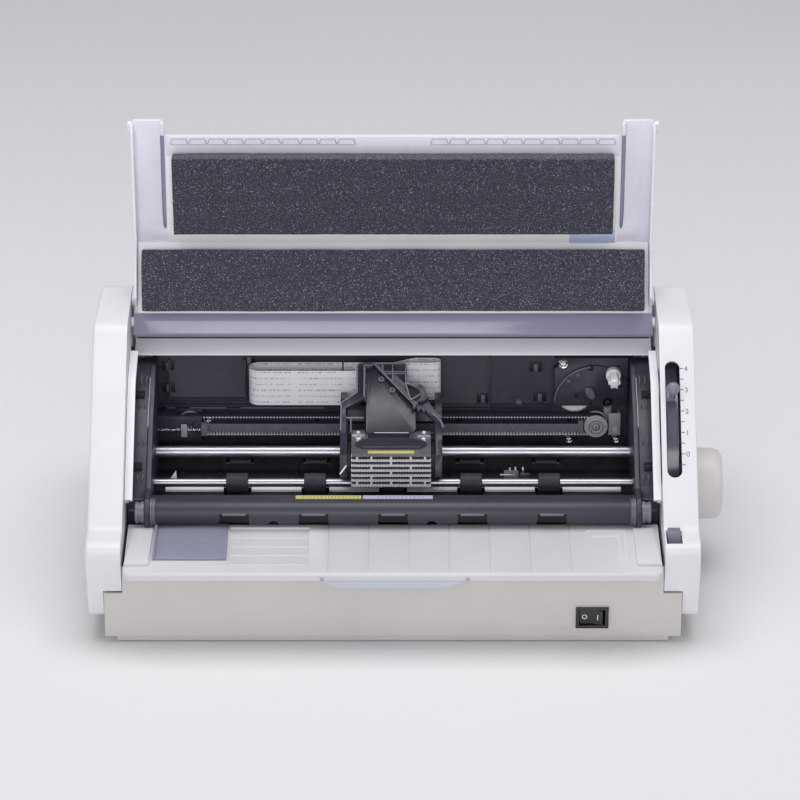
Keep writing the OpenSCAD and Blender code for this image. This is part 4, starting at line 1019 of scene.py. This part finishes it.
def belt_teeth(side):
    """The straight run of inner teeth on the upper (1) or lower (-1) side."""
    base, tip = BELT_Z + side * (BELT_R + 0.3), BELT_Z + side * (BELT_R - 0.75)
    tooth = prism("y", BELT_Y - 3, BELT_Y + 3, [(IDLER_X + 0.8, base), (IDLER_X + 1.5, tip),
                                                (IDLER_X + 1.8, tip), (IDLER_X + 2.5, base)], TOOTH, 0)
    return row(tooth, 132, (2.032, 0, 0))


keep("toothed_belt", [belt_band(), belt_teeth(1), belt_teeth(-1)], "printer", "rubber_black", "carriage_belt")
dress("encoder_strip", ENCODER, edge=0.05, segments=1)


def tension_spring():
    """The coil spring that pulls the encoder strip tight."""
    turns, steps, start, length, r = 21, 12, -157, 28.7, 0.95
    points = []
    for i in range(turns * steps + 1):
        a = 2 * math.pi * i / steps
        points.append((start + length * i / (turns * steps), 142.1 + r * math.cos(a),
                       BELT_Z + r * math.sin(a)))
    return tube(points, 0.28, ZINC, 6)


keep("tension_spring", tension_spring(), "printer", "steel_sheet", "encoder_spring")
keep("encoder_clip", block((-141.5, 140.2, 79.4), (-137.4, 141.0, 88.6), DRIVE, 0.3), "printer",
     "bracket_grey")

keep("bay_screws", [p for i, (x, z, base) in enumerate(((113, 128, REAR_WALL - 6),
                                                        (143, 100.5, REAR_WALL - 8.4),
                                                        (-124, 84, REAR_WALL), (118, 70.5, REAR_WALL),
                                                        (149.3, 70.5, REAR_WALL)))
                    for p in washer_screw((x, z), base, BLACK_SCREW if i == 1 else ZINC)],
     "printer", "steel_sheet", "screws")


# ---- Ribbon drive ----

dress("ribbon_gearbox", DARK, edge=0.4)


def gearbox_details():
    """Rim of the round cover, its holes as discs of painted shadow, and the clips around it."""
    face = REAR_WALL - 8
    outer, inner = arc(GEARBOX, 27.1, 96, 176, 20), arc(GEARBOX, 25.9, 96, 176, 20)
    pieces = [prism("y", face - 0.9, face + 0.5, outer + inner[::-1], DARK_LIT, 0.2)]
    for x, z, r in ((131, 125.5, 2.1), (122, 105.5, 1.4), (141.5, 119.5, 1.2), (151.5, 119, 1.2),
                    (151.2, 112.5, 1.3)):
        pieces.append(turned("y", (x, z), [(face - 0.1, 0), (face - 0.1, r), (face + 0.3, r),
                                           (face + 0.3, 0)], SHADOW_BLACK, 24))
    hub = [(131 + 3.1 * math.cos(a) - 1.2 * math.sin(a), 108 + 4.2 * math.sin(a) - 0.6 * math.cos(a))
           for a in (2 * math.pi * i / 32 for i in range(32))]
    pieces.append(prism("y", face - 2.6, face - 1.9, hub, DARK_LIT, 0.3))
    for angle in (118, 136):
        turn = math.radians(angle)
        cx, cz = GEARBOX[0] + 24 * math.cos(turn), GEARBOX[1] + 24 * math.sin(turn)
        pieces.append(turned("y", (cx, cz), [(face - 1.4, 0), (face - 1.4, 1.3), (face, 1.6), (face, 0)],
                             DARK_LIT, 20))
    pieces.append(block((131, face - 0.6, 98.2), (132.6, face, 103.4), DEEP, 0.2))
    return pieces


keep("gearbox_details", gearbox_details(), "printer", "frame_dark")


def toothed_disc(centre, r, teeth, depth, lo, hi, finish):
    """A spur gear's disc across the Y axis."""
    outline = []
    for i in range(teeth):
        for share, reach in ((0.0, r - depth), (0.28, r - depth), (0.42, r), (0.72, r), (0.86, r - depth)):
            a = 2 * math.pi * (i + share) / teeth
            outline.append((centre[0] + reach * math.cos(a), centre[1] + reach * math.sin(a)))
    return prism("y", lo, hi, outline, finish, 0)


keep("ribbon_gear_toothed", [toothed_disc(RIBBON_GEAR, 11.5, 58, 1.0, REAR_WALL - 5, REAR_WALL - 3, NYLON),
                             shaft("y", RIBBON_GEAR, REAR_WALL - 6.4, REAR_WALL - 1.2, 1.5, NYLON, 24)],
     "ribbon_gear_body", "gear_white", "ribbon_gear")


def spindle():
    """Ribbon spindle: a round base, a splined nose with six ribs and a notched tip."""
    x, z = SPINDLE
    lo = REAR_WALL - 26
    nose = turned("y", (x, z), [(lo, 0), (lo, 2.2), (lo + 1.2, 3.2), (REAR_WALL - 13, 3.2),
                                (REAR_WALL - 13, 4.6), (REAR_WALL - 12.6, 5), (REAR_WALL - 8.3, 5),
                                (REAR_WALL - 8.3, 2), (REAR_WALL + 4, 2), (REAR_WALL + 4, 0)], NYLON, 48)
    pieces = [nose]
    for i in range(6):
        a = math.radians(60 * i)
        ux, uz = math.cos(a), math.sin(a)
        shape = [(x + ux * d - uz * w, z + uz * d + ux * w)
                 for d, w in ((1, -0.6), (4, -0.6), (4, 0.6), (1, 0.6))]
        pieces.append(prism("y", lo + 1, REAR_WALL - 13, shape, NYLON, 0.3))
    return pieces


keep("spindle_splined", spindle(), "ribbon_spindle_body", "gear_white", "ribbon_spindle")
dress("corner_bracket", BRACKET, edge=0.3)
keep("bracket_plate", [block((141, REAR_WALL - 0.8, 84), (146, REAR_WALL, 97), BRACKET, 0.3),
                       block((147, REAR_WALL - 7.9, 77.2), (150.5, REAR_WALL - 7.4, 82), DRIVE, 0.2)],
     "printer", "bracket_grey")


# ---- Carriage ----

HEAD_PLANE = Matrix.Translation((CARRIAGE_X, 0, 0))


def zigzag_plate(lo, hi, depth, finish):
    """A plate with a saw-tooth front edge."""
    half, pitch, bite = HEAD_W / 2, 1.8, 1.0
    count = int(HEAD_W / pitch)
    start = -count * pitch / 2
    front = []
    for i in range(count):
        front += [(start + i * pitch, HEAD_Y + bite), (start + (i + 0.5) * pitch, HEAD_Y)]
    outline = [(-half, HEAD_Y + bite)] + front + [(half, HEAD_Y + bite), (half, HEAD_Y + depth),
                                                  (-half, HEAD_Y + depth)]
    return flat(HEAD_PLANE, outline, lo, hi, finish, 0)


def print_head_fins():
    """Cooling fins with their pins under the head's cast top plate."""
    fins = row(zigzag_plate(HEAD_Z, HEAD_Z + 1.35, 28, FIN), FIN_COUNT, (0, 0, FIN_PITCH))
    top = zigzag_plate(HEAD_TOP - PLATE_T, HEAD_TOP, HEAD_D, ALLOY)
    # A near-black core behind the fins: painted shadow in the gaps between them
    core = block((CARRIAGE_X - 25.4, HEAD_Y + 2.1, HEAD_Z), (CARRIAGE_X + 25.4, HEAD_Y + 24, HEAD_TOP - 1),
                 SHADOW_BLACK, 0)
    pieces = [fins, top, core]
    rows = [(-22.1, -12.8, 0, 12.8, 22.1), (-12.8, 12.8), (0,), (-12.8, 12.8), (0,),
            (-22.1, -12.8, 0, 12.8, 22.1)]
    for level, places in enumerate(rows):
        z = HEAD_Z + level * FIN_PITCH + 1.3
        pieces += [shaft("z", (CARRIAGE_X + x, HEAD_Y + 1.4), z, z + 2.35, 0.75, FIN, 16, 0.1)
                   for x in places]
    return pieces


keep("print_head_fins", print_head_fins(), "carriage", "aluminium", "head_fins")
dress("carriage_frame", DARK, edge=0.3)
paint("carriage_bushings", BRASS)
dress("print_head", DEEP, edge=0.3)


def head_top_details():
    """Dark ribbon guide with its screws, clip mark and yellow strip on the head."""
    z = HEAD_TOP
    guide = [(-22, -3.4), (-18.5, -6.6), (18.5, -6.6), (22, -3.4), (22, 2.4), (18.5, 5.2), (12, 7), (-12, 7),
             (-18.5, 5.2), (-22, 2.4)]
    plane = Matrix.Translation((CARRIAGE_X, HEAD_Y + 15, 0))
    pieces = [flat(plane, guide, z, z + 1.7, FILM, 0.4, 3)]
    for s in (-1, 1):
        pieces.append(flat(plane, [(s * 21, -2.4), (s * 23.4, -2.4), (s * 23.4, 2.2), (s * 21, 2.2)], z,
                           z + 0.9, DARK, 0.2))
        pieces.append(turned("z", (CARRIAGE_X + s * 21.2, HEAD_Y + 21.4),
                             [(z, 0), (z, 1.5), (z + 1.6, 1.3), (z + 2.0, 0.7), (z + 2.0, 0)], FIN, 24))
    pieces.append(block((CARRIAGE_X - 15, HEAD_Y + 2.0, z), (CARRIAGE_X + 15, HEAD_Y + 6.0, z + 0.12), YELLOW,
                        0.05))
    clip = [(-22.6, HEAD_Y + 27)] + arc((-21.3, HEAD_Y + 22), 1.3, 180, 360, 8) + [(-20.0, HEAD_Y + 27)]
    for a, b in zip(clip, clip[1:]):
        pieces.append(beam(HEAD_PLANE, a, b, 0.5, z, z + 0.35, FIN, 0.1))
    return pieces


keep("head_top_details", head_top_details(), "carriage", "film_black")


def film_with_painted_sheen():
    """Sloping ribbon film with a painted highlight along its lower edge, a neck to the head and a painted
    diagonal sheen.
    """
    outline = ([(-16.7, 47.5), (-12, 48.3), (4.7, 30), (16, 15.3)] + arc((12.8, 1.2), 3.4, 0, -90, 6)
               + arc((-14, -0.2), 2.6, 270, 180, 4))
    neck = block((CARRIAGE_X - 15, HEAD_Y + 21, HEAD_TOP + 0.02), (CARRIAGE_X + 12, 104.6, HEAD_TOP + 1.4),
                 DEEP, 0.2)
    return [
        flat(FILM_PLANE, outline, -1.5, 0, FILM, 0.25), neck,
        # The white bar along the film's lower edge is a painted highlight, and the thin lighter bar across
        # the film a painted sheen
        beam(FILM_PLANE, (-11, -2.35), (11.5, -2.35), 0.35, -0.4, 0.08, WHITE_MARK_AND_HIGHLIGHT, 0.05),
        beam(FILM_PLANE, (2.5, 29), (15.5, 4), 0.25, -0.1, 0.05, DARK_LIT, 0.02)]


keep("ribbon_film", film_with_painted_sheen(), "carriage", "film_black", "ribbon_mask")


def carriage_arms():
    """Ribs, bosses, sockets and latches on the sloping arms of the carriage."""
    top = 2.0
    pieces = [beam(FILM_PLANE, (-11.6, 49.6), (16.2, 16.2), 0.9, top - 0.2, top + 1.2, DARK_LIT),
              beam(FILM_PLANE, (5.4, 31), (16.9, 17.4), 0.7, top - 0.2, top + 1.6, DARK_LIT)]
    for x, y in ((-6.5, 38.5), (0.8, 30)):
        pieces.append(flat(FILM_PLANE, arc((x, y), 2.1, 0, 345, 23), 0.02, 1.1, DARK_LIT, 0.3))
        pieces.append(flat(FILM_PLANE, arc((x, y), 1.0, 0, 340, 17), 1.05, 1.2, DEEP, 0))
    for x in (-12.0, -5.6, 0.9, 9.6):
        pieces.append(beam(FILM_PLANE, (x, 49.8), (x, max(35.5, 36 - x)), 0.8, top - 0.2, top + 0.9,
                           DARK_LIT))
    for y, x in ((49.6, -11.8), (43.2, -6.5), (41.8, -5)):
        pieces.append(beam(FILM_PLANE, (x, y), (10, y), 0.7, top - 0.2, top + 0.7, DARK_LIT))
    # The near-black patches are painted shadow inside the sockets
    pieces.append(flat(FILM_PLANE, [(-5.0, 44.8), (0.2, 44.8), (0.2, 49.2), (-5.0, 49.2)], top - 0.1,
                       top + 0.06, SHADOW_BLACK, 0))
    pieces.append(flat(FILM_PLANE, [(-3.0, 38.5), (0.4, 38.5), (0.4, 41.2), (-3.0, 41.2)], top - 0.1,
                       top + 0.06, SHADOW_BLACK, 0))
    box = [(9.4, 34), (16.4, 31), (20.4, 26), (12.6, 20.2)]
    pieces += frame_of(FILM_PLANE, box, 1.0, top - 0.2, top + 2.2, DARK_LIT)
    pieces.append(flat(FILM_PLANE, [(10.5, 32.4), (16, 30), (18.8, 26.2), (12.9, 22)], top - 0.1, top + 0.1,
                       SHADOW_BLACK, 0))
    jaw = [(16.4, 31), (19.4, 32.6), (22.2, 29.6), (24.6, 22), (21.4, 19.2), (17.4, 18.4), (19.6, 24)]
    pieces.append(flat(FILM_PLANE, jaw, top - 0.2, top + 2.4, DARK, 0.4))
    for x, y in ((15.2, 14.2), (18.2, 12.6), (21.4, 12.0)):
        pieces.append(flat(FILM_PLANE, [(x - 0.8, y), (x + 0.8, y), (x + 0.4, y + 4), (x - 1.2, y + 4)],
                           top - 1.0, top + 0.8, DARK, 0.2))
    curve = arc((20, -2), 14.2, 62, 8, 8)
    pieces += [beam(FILM_PLANE, a, b, 1.6, 0.4, 3.2, DARK_LIT, 0.3) for a, b in zip(curve, curve[1:])]
    edge = [(-17.9, 23), (-17.9, 47.2), (-13, 47.2)]
    pieces += [beam(FILM_PLANE, a, b, 0.9, 3.3, 4.4, DARK_LIT) for a, b in zip(edge, edge[1:])]
    outer = arc((-19.4, 46.2), 3.1, 90, 180, 5) + [(-22.4, 26.4), (-32.8, 18.4), (-33.1, -3)]
    pieces += [beam(FILM_PLANE, a, b, 0.9, 3.3, 4.2, DARK_LIT) for a, b in zip(outer, outer[1:])]
    pieces.append(beam(FILM_PLANE, (-30.6, 8.2), (-18, 8.2), 1.2, 0.2, 2.0, DARK_LIT, 0.3))
    pieces.append(beam(FILM_PLANE, (-26.4, 8), (-26.4, -3), 1.0, 0.0, 1.8, DARK_LIT, 0.3))
    return pieces


keep("carriage_arm_details", carriage_arms(), "carriage", "frame_dark")


def head_side_details():
    """Alloy shoulders beside the film with their screws, and the dark blocks at the sides."""
    x = CARRIAGE_X
    pieces = [block((x - 26, 100, HEAD_TOP - 0.4), (x - 17.2, 107.6, HEAD_TOP + 1.0), ALLOY, 0.3),
              block((x + 17, 99, HEAD_TOP - 0.4), (x + 26, 106, HEAD_TOP + 0.8), ALLOY, 0.3),
              block((x - 28.6, 74.5, 80), (x - 26.4, 96, 97.5), DEEP, 0.3),
              block((x + 26.4, 74.5, 80), (x + 28.6, 96, 97.5), DEEP, 0.3)]
    for s in (-1, 1):
        pieces.append(turned("z", (x + s * 21.5, 103.4),
                             [(HEAD_TOP + 0.8, 0), (HEAD_TOP + 0.8, 1.3),
                              (HEAD_TOP + 1.7, 1.1), (HEAD_TOP + 1.9, 0)], FIN, 20))
    return pieces


keep("head_side_details", head_side_details(), "carriage", "aluminium")
keep("wire_hook", tube([(CARRIAGE_X - 28.3, 78, 90.6), (CARRIAGE_X - 28.6, 76, 91.0),
                        (CARRIAGE_X - 29.6, 73.5, 90.0), (CARRIAGE_X - 31.2, 72.2, 88.2),
                        (CARRIAGE_X - 33.2, 71.4, 85.8)], 0.55, WHITE_MARK_AND_HIGHLIGHT, 8), "carriage", "cable_white")


# ---- Ribbon cables ----

def rolling_share(d, length, fold_from, fold_to):
    """How much of the travel a place follows: half through the whole fold, so the cable keeps its length."""
    if d < fold_from:
        return 0.5 * d / fold_from
    if d > fold_to:
        return 0.5 + 0.5 * (d - fold_to) / (length - fold_to)
    return 0.5


def flat_cable(name, path, z_of, layers, fold_from, fold_to):
    """A loop of flat cable laid along a path; each point's share of the carriage travel is worked out but not
    used, so the loop stays where it is drawn.

    The path runs from the end fixed to the printer to the end on the carriage, with its fold between
    fold_from and fold_to along it.
    """
    thick, layer_step, layer_sink = 0.3, 0.7, 1.5
    verts, faces, shares, places = [], [], [], []
    lengths = [0.0]
    for a, b in zip(path, path[1:]):
        lengths.append(lengths[-1] + math.dist(a, b))
    for layer in range(layers):
        first = len(verts)
        for i, p in enumerate(path):
            a, b = Vector(path[max(i - 1, 0)]), Vector(path[min(i + 1, len(path) - 1)])
            out = Vector((b.y - a.y, a.x - b.x)).normalized()
            z_lo, z_hi = z_of(p[0], p[1])
            d = lengths[i]
            share = rolling_share(d, lengths[-1], fold_from, fold_to)
            for side in (0, thick):
                for z in (z_lo, z_hi):
                    q = Vector(p) + out * (layer * layer_step + side)
                    verts.append((q.x, q.y, z - layer * layer_sink))
                    shares.append(share)
                    places.append((d, (z - z_lo) + layer * 9))
        for i in range(len(path) - 1):
            a, b = first + 4 * i, first + 4 * i + 4
            faces += [[a, a + 1, b + 1, b], [a + 3, a + 2, b + 2, b + 3], [a + 1, a + 3, b + 3, b + 1],
                      [a + 2, a, b, b + 2]]
        last = first + 4 * (len(path) - 1)
        faces += [[first, first + 2, first + 3, first + 1], [last + 1, last + 3, last + 2, last]]
    loop = thing(verts, faces, CABLE, name)
    uv = loop.data.uv_layers.new(name="along")
    for corner in loop.data.loops:
        uv.data[corner.index].uv = places[corner.vertex_index]
    crease(loop.data, 50)
    at(verts[0])
    at(verts[-1])
    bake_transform(loop)
    return loop


def run_of(a, b, step=2.5):
    """Evenly spaced points on a straight line."""
    n = max(1, round(math.dist(a, b) / step))
    return [(a[0] + (b[0] - a[0]) * i / n, a[1] + (b[1] - a[1]) * i / n) for i in range(n + 1)]


def looped_cable(name, fixed_x, fold_x, end_x, y, r, steps, z_of, layers):
    """A cable that runs along the rear wall from its fixed end, folds, and comes back to the carriage."""
    turn = 270 if fold_x < fixed_x else -90
    path = (run_of((fixed_x, y), (fold_x, y)) + arc((fold_x, y - r), r, 90, turn, steps)[1:]
            + run_of((fold_x, y - 2 * r), (end_x, y - 2 * r))[1:])
    straight = abs(fold_x - fixed_x)
    return flat_cable(name, path, z_of, layers, straight, straight + math.pi * r)


def left_heights(x, y):
    """The left cable stands level."""
    return 102.8, 127.6


def right_heights(x, y):
    """The right cable sinks behind the carriage towards its fixed end."""
    sink = 3.4 * min(1, max(0, (14 - x) / 14)) if y > 150 else 0
    return 106 - sink, 130.8 - sink


# Both cables are fixed near the middle of the rear wall, in front of its ribs, and each serves its own side
left_cable = looped_cable("left_ribbon_cable", -34, -88.6, -24.2, 155.0, 6.95, 20, left_heights, 1)
looped_cable("right_ribbon_cable", -33, 27.6, -26, 155.3, 4.05, 18, right_heights, 3)
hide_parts("carriage_cables")


def cable_clip(x, width, front, z_lo, z_hi):
    """An upright clip on the rear wall that holds the fixed end of a cable."""
    return [block((x, front, z_lo), (x + width, front + 0.4, z_hi), DARK, 0.15),
            block((x, front, z_lo - 1.2), (x + width, REAR_WALL, z_lo + 0.3), DARK, 0.2)]


keep("cable_clips", cable_clip(-36.4, 2.8, 154.3, 99, 118.5) + cable_clip(-33.2, 3.8, 152.9, 96, 118.5),
     "printer", "frame_dark")
keep("cable_connector", [block((-26.5, 141.3, 99.8), (-21, 147.0, 120), DEEP, 0.3),
                         block((-26.5, 136.4, 99.8), (-21, 142, 102.4), DARK, 0.3)],
     "carriage", "frame_dark")


# ---- Levers and switch ----

dress("gap_lever", LEVER, edge=0.3)
keep("gap_lever_dust_shield",
     prism("x", 177.2, 184.8, arc(ROD, 67.2, 69.8, 177.5, 54) + arc(ROD, 66.0, 177.5, 69.8, 54),
           SHIELD, 0.2, 1),
     "gap_lever_body", "lever_grey")
dress("release_lever", LEVER, edge=0.3)
dress("power_rocker", SWITCH, edge=0.5, segments=3)
dress("switch_body", SWITCH, edge=0.35)


def flat_text(letters, size, plane, x, y, height, finish):
    """Upright printed figures as a thin mesh on a plane."""
    curve = bpy.data.curves.new("figure", "FONT")
    curve.body = letters
    curve.size = size * MM
    curve.extrude = 0.04 * MM
    curve.resolution_u = 4
    obj = add_object("part", curve)
    bpy.context.view_layer.update()
    mesh = finished_mesh(obj)
    bpy.data.objects.remove(obj)
    plane_m = plane.copy()
    plane_m.translation = (plane.translation + SEAT) * MM
    mesh.transform(plane_m @ Matrix.Translation((x * MM, y * MM, height * MM)))
    mesh.materials.clear()
    mesh.materials.append(finish)
    return outwards(add_object("part", mesh))


def slot_scale():
    """Raised ticks and generic figures for the settings of the gap lever."""
    pieces = []
    top = 0.02
    slant = 1.41421         # length along the 45 degree slope for each millimetre of depth
    for i in range(10):
        y = (24.4 - 46.6 * i / 9) * slant + 0.2
        pieces.append(flat(SLOPE_PLANE, [(185.9, y - 0.3), (188.0, y - 0.3), (188.0, y + 0.3),
                                         (185.9, y + 0.3)], top - 0.2, top + 0.06, INK, 0))
        if i % 2 == 0:
            pieces.append(flat_text(str(4 - i // 2), 4.8, SLOPE_PLANE, 188.6, y - 1.8, top + 0.02, INK))
    return pieces


keep("slot_scale", slot_scale(), "printer", "casing_white")
ROCKER_PLANE = Matrix.Translation((127.4, 4, 18.8)) @ Matrix.Rotation(math.radians(-8), 4, "Z")


def rocker_face(side):
    """The plane of one half of the rocker's front: the left (-1) or the right (1)."""
    return (ROCKER_PLANE @ Matrix.Translation((side * 4.2, -4.1, 0))
            @ Matrix.Rotation(-side * math.atan2(1, 6.4), 4, "Z")
            @ Matrix.Rotation(math.radians(90), 4, "X"))


def ring_mark(plane, lo, hi, finish):
    """A raised ring on a plane."""
    ring, hole = arc((0, 0), 1.6, 0, 360, 32)[:-1], arc((0, 0), 1.15, 0, 360, 32)[:-1]
    n = len(ring)
    verts = [(x, y, h) for h in (lo, hi) for loop in (ring, hole) for x, y in loop]
    faces = []
    for i in range(n):
        j = (i + 1) % n
        faces += [[i, j, n + j, n + i], [2 * n + i, 3 * n + i, 3 * n + j, 2 * n + j],
                  [i, 2 * n + i, 2 * n + j, j], [n + i, n + j, 3 * n + j, 3 * n + i]]
    return on_plane(settle(outwards(thing(verts, faces, finish))), plane)


keep("rocker_marks", [ring_mark(rocker_face(-1), -0.15, 0.1, WHITE_MARK_AND_HIGHLIGHT),
                      flat(rocker_face(1), [(-0.25, -1.9), (0.25, -1.9), (0.25, 1.9), (-0.25, 1.9)], -0.15,
                           0.1, WHITE_MARK_AND_HIGHLIGHT, 0)], "power_rocker_body", "switch_black")
dress("paper_guide", GUIDE, edge=0.25)


# ---- Electronics and sockets ----

dress("main_board", BOARD, edge=0.2, segments=1)
dress("power_supply", SHEET, edge=0.6)

# Blades of the power inlet, and a shell with a row of contacts for the data port
inlet = [block((-139.6, SOCKET_FACE, 14.4), (-112.4, 250.9, 33.6), SWITCH, 0.5),
         # The near-black block is painted shadow in the inlet's opening
         block((-136.4, 250.6, 17.4), (-115.6, 251.0, 30.6), SHADOW_BLACK, 0.2)]
for x, z in ((-131, 22.6), (-121, 22.6), (-126, 26.2)):
    inlet.append(block((x - 0.9, 250.8, z - 2), (x + 0.9, 252.4, z + 2), ZINC, 0.2))
keep("power_inlet_face", inlet, "printer", "switch_black")
port = [block((98, SOCKET_FACE, 18.4), (132, 251.6, 26.2), ZINC, 0.5),
        block((100, 251.3, 20.2), (130, 251.9, 24.6), CHIP, 0.3),
        row(block((101.6, 251.7, 22.0), (102.6, 252.2, 22.9), BRASS, 0), 18, (1.55, 0, 0))]
for x in (95.4, 134.6):
    port.append(turned("y", (x, 22.3), [(SOCKET_FACE, 0), (SOCKET_FACE, 2.4), (252.4, 2.4), (252.4, 1.2),
                                        (251.2, 1.2), (251.2, 0)], ZINC, 6))
keep("data_port_face", port, "printer", "steel_sheet")
chips = [block((x, y, BOARD_TOP), (x + w, y + d, 19.2), CHIP, 0.2)
         for x, y, w, d in ((-52, 174, 9, 6), (70, 176, 14, 14), (92, 176, 8, 12), (110, 180, 16, 8),
                            (-52, 190, 8, 14), (70, 200, 10, 6))]
cans = [turned("z", (x, y), [(BOARD_TOP, 0), (BOARD_TOP, r), (BOARD_TOP + h, r), (18 + h, r - 0.4),
                             (18 + h, 0)], SHEET, 32)
        for x, y, r, h in ((88, 205, 4, 10), (88, 216, 4, 10), (62, 214, 3, 8), (-50, 212, 5, 13))]
keep("board_parts", chips + cans, "printer", "board_green")


# ---- Stage, camera and light ----

floor = thing([(-4000, -4000, 0), (4000, -4000, 0), (4000, 6000, 0), (-4000, 6000, 0)], [[0, 1, 2, 3]], None,
              "floor")
paper = Tree("floor_pale")
paper.to("Base Color", paper.blend(paper.spread(paper.noise(paper.coordinates(), 900)),
                                   linear(229, 229, 231), linear(233, 233, 235)))
paper.to("Roughness", 0.85)
floor.data.materials.clear()
floor.data.materials.append(paper.material)

TILT = math.radians(25)
camera = add_object("camera", bpy.data.cameras.new("camera"))
camera.location = at((4.5, -2109.2, 1155.7))
camera.rotation_euler = (math.radians(90) - TILT, 0, 0)
camera.data.sensor_width = 36
camera.data.lens = 168.2
camera.data.clip_end = 50
bpy.context.scene.camera = camera

world = bpy.data.worlds.new("studio")
world.use_nodes = True
world.node_tree.nodes["Background"].inputs["Color"].default_value = (0.93, 0.94, 0.97, 1)
world.node_tree.nodes["Background"].inputs["Strength"].default_value = 0.36
bpy.context.scene.world = world


def softbox(name, place, aim, size, power):
    """A rectangular lamp turned towards a point. Places are in metres, in the row frame."""
    lamp = bpy.data.lights.new(name, "AREA")
    lamp.shape = "RECTANGLE"
    lamp.size, lamp.size_y = size
    lamp.energy = power
    obj = add_object(name, lamp)
    obj.location = place
    obj.rotation_euler = (Vector(aim) - Vector(place)).to_track_quat("-Z", "Y").to_euler()


softbox("top_light", (0.0, 0.1, 1.8), (0, 0, 0.1), (1.6, 1.0), 19)
softbox("front_light", (-0.3, -2.3, 0.85), (0, 0, 0.15), (1.8, 0.9), 18)
softbox("right_light", (1.6, -0.7, 0.9), (0, 0, 0.1), (0.8, 1.2), 2.5)
softbox("left_light", (-1.6, -0.5, 0.9), (0, 0, 0.1), (0.8, 1.2), 2.5)
bpy.context.scene.view_settings.view_transform = "Standard"
